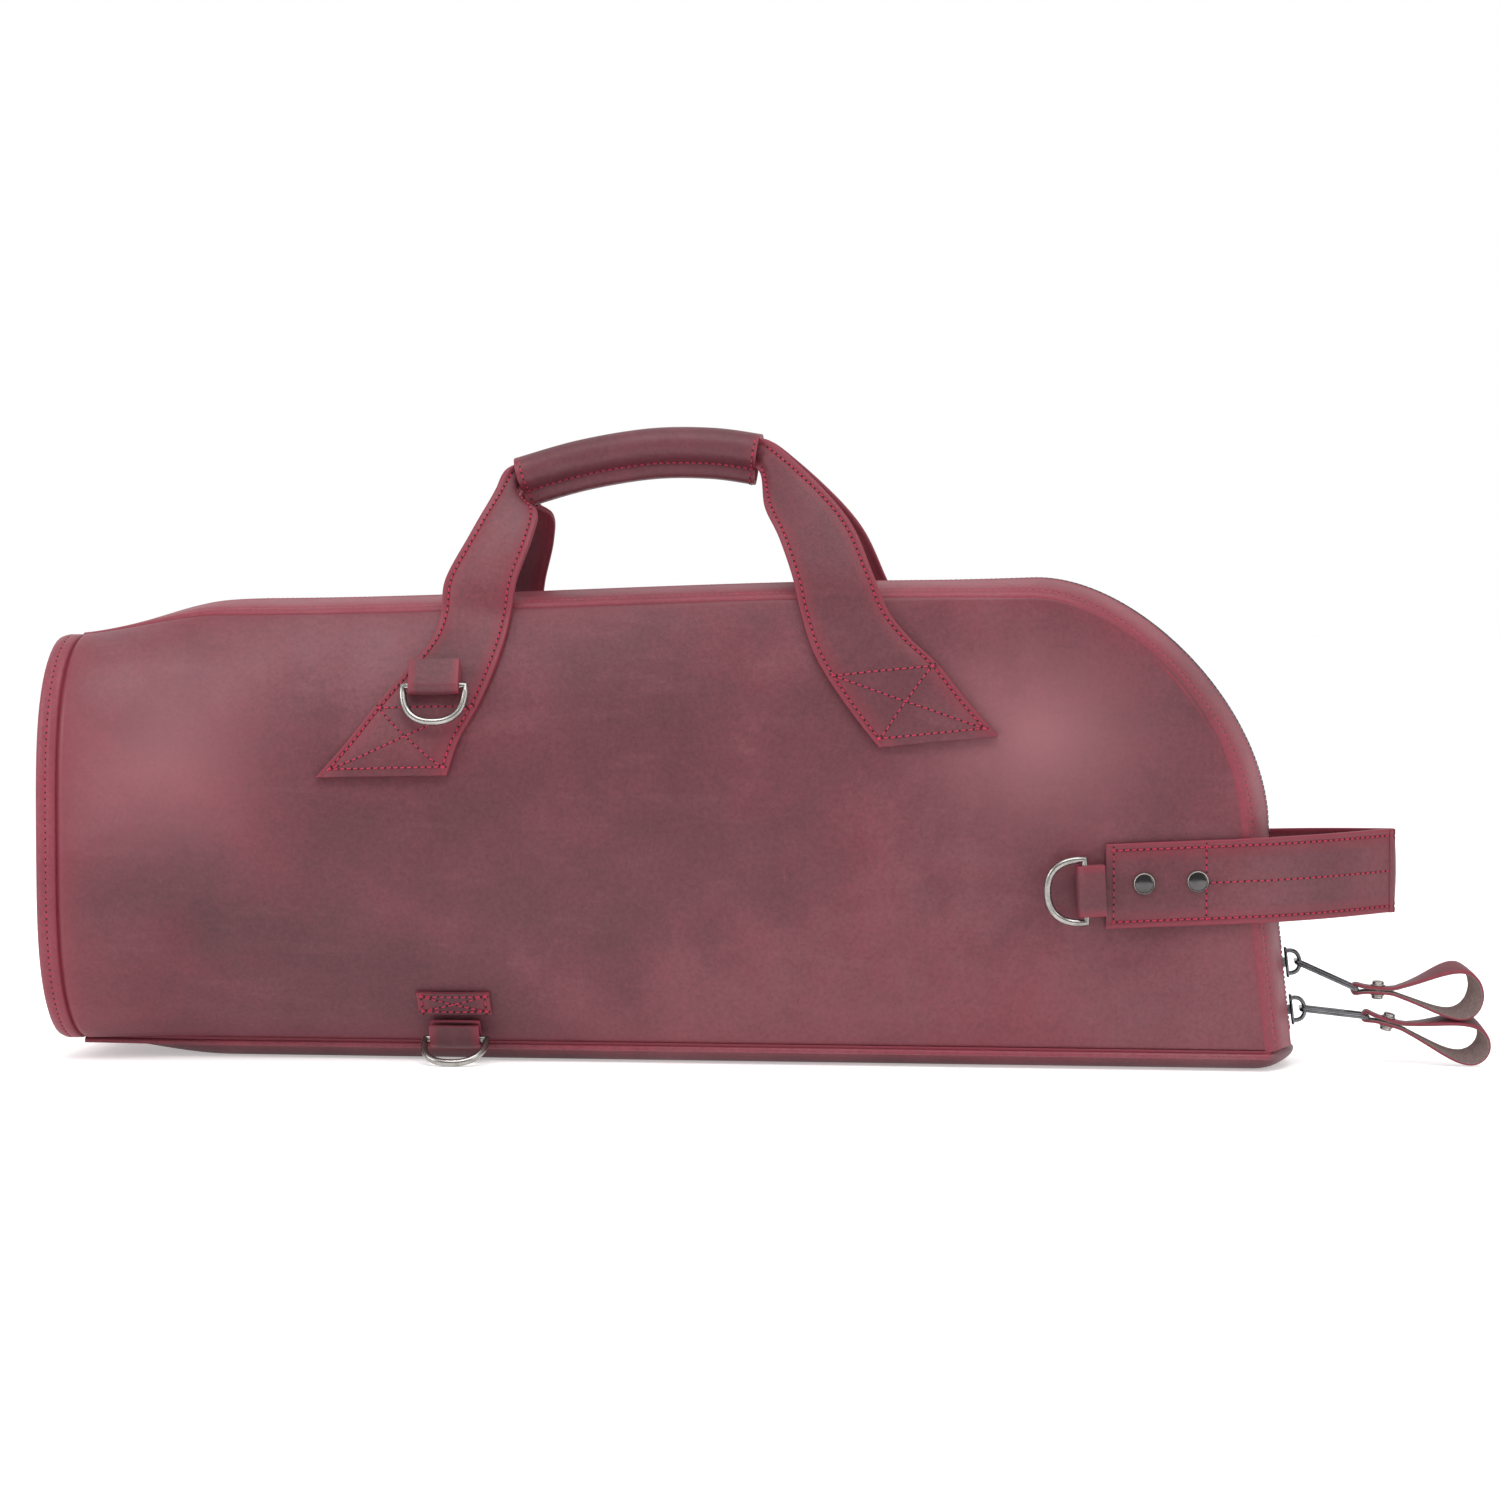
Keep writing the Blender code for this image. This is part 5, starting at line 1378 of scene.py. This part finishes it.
def make_ring(word):
    """A nickel D-ring and the leather tab folded round its bar."""
    bow, tab_off, length = RINGS[word]
    origin, along = joint_at(word + "_ring_swing")
    place = ring_frame(origin, along, bow)
    angles = np.linspace(0, math.pi, 41)[1:-1]
    ring = [(x, 0, 0) for x in np.linspace(-RING_HALF, RING_HALF, 9)]
    ring += [(RING_HALF * math.copysign(abs(math.cos(a)) ** 0.85, math.cos(a)),
              -RING_DEPTH * math.sin(a) ** 0.8 - 0.001, 0) for a in angles]
    points = moved(place, ring)
    grown_piece(word + "_d_ring", "Wire", [(points, np.tile((0.0, 0.0, 1.0), (len(points), 1)))],
                {"Radius": RING_WIRE, "Sides": 16, "Finish": LOOKS["nickel"]}, closed=True,
                body=word + "_ring", slot="nickel", replaces=("d_ring_" + word,))
    if tab_off is None:
        x, y, z = origin
        up = on_panel(x, 0.0240, -1, 0.0) - on_panel(x, 0.0160, -1, 0.0)
        tab_off = tuple(-up)
    place = ring_frame(origin, along, tab_off)
    shoulder = mix(TAB_FLAT, TAB_OUTER, 0.6)
    path = [(length, TAB_FLAT), (length / 2, shoulder)]
    path += [(-TAB_OUTER * math.sin(a), TAB_OUTER * math.cos(a))
             for a in np.linspace(0, math.pi, 9)]
    path += [(length / 2, -shoulder), (length, -TAB_FLAT)]
    path = catmull(path, np.linspace(0, 1, 70))
    lefts = moved(place, [(-TAB_HALF, y, z) for y, z in path])
    rights = moved(place, [(TAB_HALF, y, z) for y, z in path])
    mesh = band(word + "_ring_tab", lefts, rights, TAB_THICK, True, False, 1)
    piece(word + "_ring_tab", mesh, LOOKS["trim"], "front_side", "trim_leather",
          ("d_ring_tab_" + word,))


PATCH_THICK = 0.0018
PATCH_CROWN = 0.0006
PATCH = (-0.1095, -0.0760, 0.0335, 0.0235)     # left, right, top, bottom


def make_patch():
    """The leather patch, sewn with a box and a cross, that the lower ring's tab hangs from."""
    left, right, top, bottom = PATCH
    heights = np.linspace(top, bottom, 24)
    lefts = np.array([on_panel(left + 0.03 * (top - z), z, -1, 0.0021) for z in heights])
    rights = np.array([on_panel(right + 0.03 * (top - z), z, -1, 0.0021) for z in heights])
    mesh = band("ring_patch", lefts, rights, PATCH_THICK, True, True, 1, crown=PATCH_CROWN)
    piece("ring_patch", mesh, LOOKS["trim"], "front_side", "trim_leather", ("d_ring_patch",))
    low, last = 0.15, 0.85
    for start, stop in (((low, -1), (low, 1)), ((last, -1), (last, 1)), ((low, -1), (last, -1)),
                        ((low, 1), (last, 1)), ((low, -1), (last, 1)), ((low, 1), (last, -1))):
        line, out = band_line(lefts, rights, True, start, stop, PATCH_CROWN, 0.0022)
        sew("front side", line, out)


# ---- pulls ----
LINK_LENGTH = 0.0300
LINK_HALF = 0.0078
LINK_CORNER = 0.0018
LINK_WIRE = 0.0009
PULL_HALF = 0.0049
PULL_THICK = 0.0015
PULL_NECK = 0.0018
PULL_NECK_END = 0.0150
PULL_LENGTH = 0.0570
PULL_LEAN = (-0.0060, 0.0045)  # how far the far edge of a pull leans back and up at its loop
RIVET_AT = 0.0095


def tilted(origin, degrees):
    return Matrix.Translation(Vector(origin)) @ Matrix.Rotation(math.radians(degrees), 4, "Y")


def make_link(name, place, body, node):
    points = []
    for cx, cy, turn in ((LINK_CORNER, LINK_HALF - LINK_CORNER, 90),
                         (LINK_CORNER, LINK_CORNER - LINK_HALF, 180),
                         (LINK_LENGTH - LINK_CORNER, LINK_CORNER - LINK_HALF, 270),
                         (LINK_LENGTH - LINK_CORNER, LINK_HALF - LINK_CORNER, 0)):
        points += [(cx + LINK_CORNER * math.cos(math.radians(turn + 15 * k)),
                    cy + LINK_CORNER * math.sin(math.radians(turn + 15 * k)), 0)
                   for k in range(7)]
    points = moved(place, points)
    grown_piece(name, "Wire", [(points, np.tile((0.0, 0.0, 1.0), (len(points), 1)))],
                {"Radius": LINK_WIRE, "Sides": 12, "Finish": LOOKS["gunmetal"]}, closed=True,
                body=body, slot="gunmetal", replaces=(node,))


def make_pull(name, place, swell, body, node):
    """A leather pull: a strip round the link's bar, riveted, that swells into a teardrop."""
    nose = LINK_WIRE + 0.0003 + PULL_THICK
    upper = [(nose * math.cos(a), nose * math.sin(a)) for a in (math.pi, 2.44, 1.75)]
    upper += [(0.0050, PULL_NECK), (PULL_NECK_END, PULL_NECK)]
    for k in range(1, 12):
        t = k / 12
        bulge = math.sin(math.pi * t ** 1.35) ** 0.85
        upper.append((PULL_NECK_END + (PULL_LENGTH - PULL_NECK_END) * (1 - (1 - t) ** 1.6),
                      PULL_NECK * (1 - t) + swell * bulge))
    path = upper + [(PULL_LENGTH, 0.0)] + [(u, -n) for u, n in reversed(upper[1:])]
    path = catmull(path + path[:1], np.linspace(0, 1, 161)[:-1])
    lean = smooth((path[:, 0] - PULL_NECK_END) / (PULL_LENGTH - PULL_NECK_END))
    lefts = moved(place, [(u + PULL_LEAN[0] * k, PULL_HALF, n + PULL_LEAN[1] * k)
                          for (u, n), k in zip(path, lean)])
    rights = moved(place, [(u, -PULL_HALF, n) for u, n in path])
    mesh = band(name, lefts, rights, PULL_THICK, False, False, 1, True, closed=True)
    piece(name, mesh, [LOOKS["trim"], LOOKS["flesh"]], body, "trim_leather", (node,))
    for side, word in ((1, "_rivet_top"), (-1, "_rivet_bottom")):
        turn = Matrix.Translation((RIVET_AT, 0, side * (PULL_NECK + 0.0002)))
        if side < 0:
            turn = turn @ Matrix.Rotation(math.pi, 4, "X")
        head = lathe(name + word, [(0.0012, -0.0016), (0.0032, 0.0), (0.0032, 0.0004),
                                   (0.0027, 0.0007), (0.0027, 0.0017), (0.0021, 0.0022),
                                   (0.0008, 0.0023)],
                     place @ turn)
        piece(name + word, head, LOOKS["nickel"], body, "nickel",
              (node + "_rivet",) if side > 0 else ())


def make_pulls():
    eye = joint_at("upper_link_swing")[0]
    far = joint_at("upper_pull_swing")[0]
    make_link("upper_link_wire", tilted(eye, 24), "upper_link", "pull_link_upper")
    make_pull("upper_leather_pull", tilted(far, 3), 0.0105, "upper_pull", "pull_upper")
    place = tilted(joint_at("lower_pull_sweep")[0], 6)
    far = place @ Vector((LINK_LENGTH, 0, 0))
    make_link("lower_link_wire", place, "lower_pull", "pull_link_lower")
    make_pull("lower_leather_pull", tilted(far, 15.3), 0.0085, "lower_pull", "pull_lower")


# ---- stitching ----
STITCH_HOMES = {
    "root": {"body": "root"},
    "front side": {"body": "front_side"},
    "front shell": {"body": "root", "blend": SHELL_BLEND},
    "front legs": {"body": "root", "blend": STRAP_BLEND},
    "front loop": {"body": "root", "blend": LOOP_BLEND},
}


def make_stitching():
    sewing = bpy.context.scene.gig_sewing
    for group, lines in SEWN.items():
        grown_piece(group.replace(" ", "_") + "_stitching", "Stitches", lines, {
            "Pitch": sewing.pitch, "Thread Radius": sewing.thread_radius, "Fill": sewing.fill,
            "Rise": sewing.rise, "Slant": sewing.slant, "Hole Radius": sewing.hole_radius,
            "Thread": LOOKS["thread"], "Hole": LOOKS["hole"]}, **STITCH_HOMES[group])


# ---- stage ----
FLOOR_HALF = 90


def softbox(name, spot, aim, size, power):
    light = bpy.data.lights.new(name, "AREA")
    light.shape = "RECTANGLE"
    light.size, light.size_y = size
    light.energy = power
    obj = bpy.data.objects.new(name, light)
    bpy.context.scene.collection.objects.link(obj)
    obj.location = spot
    obj.rotation_euler = (Vector(aim) - Vector(spot)).to_track_quat("-Z", "Y").to_euler()


def make_stage():
    """Pale floor, soft studio lights and the camera."""
    scene = bpy.context.scene
    settings = scene.gig_stage
    floor = plain("studio_floor", (0.92, 0.92, 0.92), (0.95, 0.95, 0.95), 4.0, 0.0001, 0.8)
    surface = floor.node_tree.nodes["Principled BSDF"]
    surface.inputs["Emission Color"].default_value = (1.0, 1.0, 1.0, 1.0)
    surface.inputs["Emission Strength"].default_value = settings.floor_glow
    mesh = bpy.data.meshes.new("floor")
    mesh.from_pydata([(x * FLOOR_HALF, y * FLOOR_HALF, 0)
                      for x, y in ((-1, -1), (1, -1), (1, 1), (-1, 1))], [], [(0, 1, 2, 3)])
    mesh.materials.append(floor)
    ground = bpy.data.objects.new("floor", mesh)
    scene.collection.objects.link(ground)
    aim = (settings.aim[0], 0.0, settings.aim[1])
    softbox("key_light", (0.15, -0.9, 1.75), aim, (1.6, 1.1), settings.key)
    softbox("left_light", (-1.7, -1.0, 0.95), aim, (0.9, 1.3), settings.side)
    softbox("right_light", (1.9, -1.2, 0.9), aim, (1.0, 1.4), settings.side * 0.6)
    world = scene.world or bpy.data.worlds.new("studio")
    scene.world = world
    world.use_nodes = True
    tree = world.node_tree
    place = tree.nodes.new("ShaderNodeTexCoord")
    split = tree.nodes.new("ShaderNodeSeparateXYZ")
    shade = tree.nodes.new("ShaderNodeMapRange")
    tree.links.new(place.outputs["Generated"], split.inputs[0])
    tree.links.new(split.outputs["Y"], shade.inputs["Value"])
    for key, value in (("From Min", -0.25), ("From Max", 0.15), ("To Min", settings.sky),
                       ("To Max", 1.0)):
        shade.inputs[key].default_value = value
    sky = tree.nodes["Background"]
    tree.links.new(shade.outputs[0], sky.inputs["Strength"])
    sky.inputs["Color"].default_value = (1.0, 1.0, 1.0, 1.0)
    scene.view_settings.view_transform = "Standard"
    camera = bpy.data.cameras.new("camera")
    camera.sensor_width = 36.0
    camera.lens = settings.lens
    holder = bpy.data.objects.new("camera", camera)
    scene.collection.objects.link(holder)
    turn = settings.azimuth
    holder.location = (aim[0] + settings.distance * math.sin(turn),
                       -settings.distance * math.cos(turn), settings.height)
    toward = Vector(aim) - holder.location
    holder.rotation_euler = toward.to_track_quat("-Z", "Y").to_euler()
    scene.camera = holder


# ---- settings ----
def colour(label, words, value):
    return FloatVectorProperty(name=label, description=words, default=value, size=3,
                               min=0.0, max=1.0, subtype="COLOR")


def length(label, words, value):
    return FloatProperty(name=label, description=words, default=value, min=0.0, unit="LENGTH",
                         precision=5)


class GigLeatherSettings(bpy.types.PropertyGroup):
    """Colours of the leathers."""

    body: colour("Body", "Main colour of the side panels", (0.132, 0.033, 0.045))
    deep: colour("Deep", "Darkest clouds of the leather", (0.080, 0.022, 0.029))
    # the lighter tone of clouds and rubs; brightened, it is also the painted sheen on the side panels
    raised_and_sheen: colour("Raised", "Lights where the leather is rubbed", (0.215, 0.085, 0.098))
    red: colour("Edge red", "Redder colour of cut and turned edges", (0.210, 0.024, 0.042))
    trim: colour("Trim", "Main colour of straps, tabs and pulls", (0.112, 0.029, 0.038))
    placket: colour("Placket", "Main colour of the zip plackets and binding",
                    (0.225, 0.034, 0.054))


class GigSewingSettings(bpy.types.PropertyGroup):
    """Thread and pitch of the stitching."""

    thread: colour("Thread", "Colour of the thread", (0.560, 0.020, 0.075))
    pitch: length("Pitch", "Distance from one stitch to the next", 0.0030)
    thread_radius: length("Thread radius", "Radius of the thread", 0.00031)
    rise: length("Rise", "Height of a stitch's middle over the leather", 0.00055)
    hole_radius: length("Hole radius", "Radius of the needle holes", 0.00046)
    fill: FloatProperty(name="Fill", description="Share of the pitch that the thread covers",
                        default=0.62, min=0.1, max=1.0)
    slant: FloatProperty(name="Slant", description="Turn of each stitch off its row",
                         default=0.12, subtype="ANGLE")


class GigZipSettings(bpy.types.PropertyGroup):
    """Teeth of the zip."""

    pitch: length("Tooth pitch", "Distance from one tooth to the next in a row", 0.0023)
    height: length("Tooth height", "Height of a tooth through the tape", 0.0024)


class GigStageSettings(bpy.types.PropertyGroup):
    """Camera and lights."""

    azimuth: FloatProperty(name="Azimuth", description="Camera's turn towards +X from the front",
                           default=math.radians(6.6), subtype="ANGLE")
    distance: length("Distance", "Camera's distance from the aim, seen from above", 1.62)
    height: length("Height", "Camera's height over the floor", 0.198)
    aim: FloatVectorProperty(name="Aim", description="X and Z of the point aimed at",
                             default=(0.0375, 0.142), size=2, unit="LENGTH")
    lens: FloatProperty(name="Lens", description="Focal length in millimetres", default=84.0)
    key: FloatProperty(name="Key", description="Power of the top light in watts", default=24.0)
    side: FloatProperty(name="Side", description="Power of the left light in watts", default=15.0)
    sky: FloatProperty(name="Sky", description="Strength of the light from the camera's side",
                       default=0.32)
    floor_glow: FloatProperty(name="Floor glow", description="Light that the floor itself gives",
                              default=0.38)


# ---- operators ----
class GIG_OT_sides(bpy.types.Operator):
    """Make the two side panels, zip plackets, wide-end cap, its binding and the bottom"""

    bl_idname = "gig.sides"
    bl_label = "Shell"

    def execute(self, context):
        for word, side in (("front", -1), ("back", 1)):
            make_panel(word, side)
            make_placket(word, side)
        make_cap()
        make_binding()
        make_bottom()
        return {"FINISHED"}


class GIG_OT_inside(bpy.types.Operator):
    """Make the foam, cloth linings and boards inside the shell"""

    bl_idname = "gig.inside"
    bl_label = "Inside"

    def execute(self, context):
        for word, side in (("front", -1), ("back", 1)):
            make_padding(word, side)
            make_lining(word, side)
        make_end_padding()
        make_boards()
        return {"FINISHED"}


class GIG_OT_zip(bpy.types.Operator):
    """Make the zip: two tapes with teeth and two sliders"""

    bl_idname = "gig.zip"
    bl_label = "Zip"

    def execute(self, context):
        make_zip("front", -1)
        make_zip("back", 1)
        make_slider("upper_zip_slider", UPPER_Z, "upper_slider", "slider_upper")
        make_slider("lower_zip_slider", LOWER_Z, "root", "slider_lower")
        return {"FINISHED"}


class GIG_OT_handle(bpy.types.Operator):
    """Make the carrying handle: four strap legs and the grip that joins them"""

    bl_idname = "gig.handle"
    bl_label = "Handle"

    def execute(self, context):
        for word, side in (("front", -1), ("back", 1)):
            make_leg(word, "_handle_left_leg", LEFT_LAID, LEFT_FREE, side)
            make_leg(word, "_handle_right_leg", RIGHT_LAID, RIGHT_FREE, side)
        make_grip()
        return {"FINISHED"}


class GIG_OT_loop(bpy.types.Operator):
    """Make the loop at the narrow end and its two studs"""

    bl_idname = "gig.end_loop"
    bl_label = "End Loop"

    def execute(self, context):
        make_loop(-1)
        make_loop(1)
        make_studs()
        return {"FINISHED"}


class GIG_OT_rings(bpy.types.Operator):
    """Make the three D-rings with their tabs, and the lower ring's patch"""

    bl_idname = "gig.rings"
    bl_label = "Rings"

    def execute(self, context):
        for word in RINGS:
            make_ring(word)
        make_patch()
        return {"FINISHED"}


class GIG_OT_pulls(bpy.types.Operator):
    """Make the two zip pulls: wire link, leather loop and rivet"""

    bl_idname = "gig.pulls"
    bl_label = "Zip Pulls"

    def execute(self, context):
        make_pulls()
        return {"FINISHED"}


class GIG_OT_stitching(bpy.types.Operator):
    """Sew every row that the leather pieces have asked for"""

    bl_idname = "gig.stitching"
    bl_label = "Stitching"

    def execute(self, context):
        if not SEWN:
            raise RuntimeError("no stitch rows yet: make the leather pieces first")
        make_stitching()
        return {"FINISHED"}


class GIG_OT_stage(bpy.types.Operator):
    """Set the floor, lights and camera"""

    bl_idname = "gig.stage"
    bl_label = "Stage"

    def execute(self, context):
        make_stage()
        return {"FINISHED"}


OPERATORS = (GIG_OT_sides, GIG_OT_inside, GIG_OT_zip, GIG_OT_handle, GIG_OT_loop, GIG_OT_rings,
             GIG_OT_pulls, GIG_OT_stitching, GIG_OT_stage)
SETTINGS = {"gig_leather": GigLeatherSettings, "gig_sewing": GigSewingSettings,
            "gig_zip": GigZipSettings, "gig_stage": GigStageSettings}


class GIG_PT_panel(bpy.types.Panel):
    """Sidebar panel that lists the settings and the pieces"""

    bl_idname = "GIG_PT_panel"
    bl_label = "Gig Bag"
    bl_space_type = "VIEW_3D"
    bl_region_type = "UI"
    bl_category = "Gig Bag"

    def draw(self, context):
        for name, group in SETTINGS.items():
            box = self.layout.box()
            for key in group.__annotations__:
                box.prop(getattr(context.scene, name), key)
        for operator in OPERATORS:
            self.layout.operator(operator.bl_idname)


def register():
    for group in SETTINGS.values():
        bpy.utils.register_class(group)
    for name, group in SETTINGS.items():
        setattr(bpy.types.Scene, name, PointerProperty(type=group))
    for operator in OPERATORS:
        bpy.utils.register_class(operator)
    bpy.utils.register_class(GIG_PT_panel)


def unregister():
    bpy.utils.unregister_class(GIG_PT_panel)
    for operator in reversed(OPERATORS):
        bpy.utils.unregister_class(operator)
    for name in SETTINGS:
        delattr(bpy.types.Scene, name)
    for group in SETTINGS.values():
        bpy.utils.unregister_class(group)


def main():
    register()
    make_looks()
    bpy.ops.gig.sides()
    bpy.ops.gig.inside()
    bpy.ops.gig.zip()
    bpy.ops.gig.handle()
    bpy.ops.gig.end_loop()
    bpy.ops.gig.rings()
    bpy.ops.gig.pulls()
    bpy.ops.gig.stitching()
    bpy.ops.gig.stage()


if __name__ == "__main__":
    main()
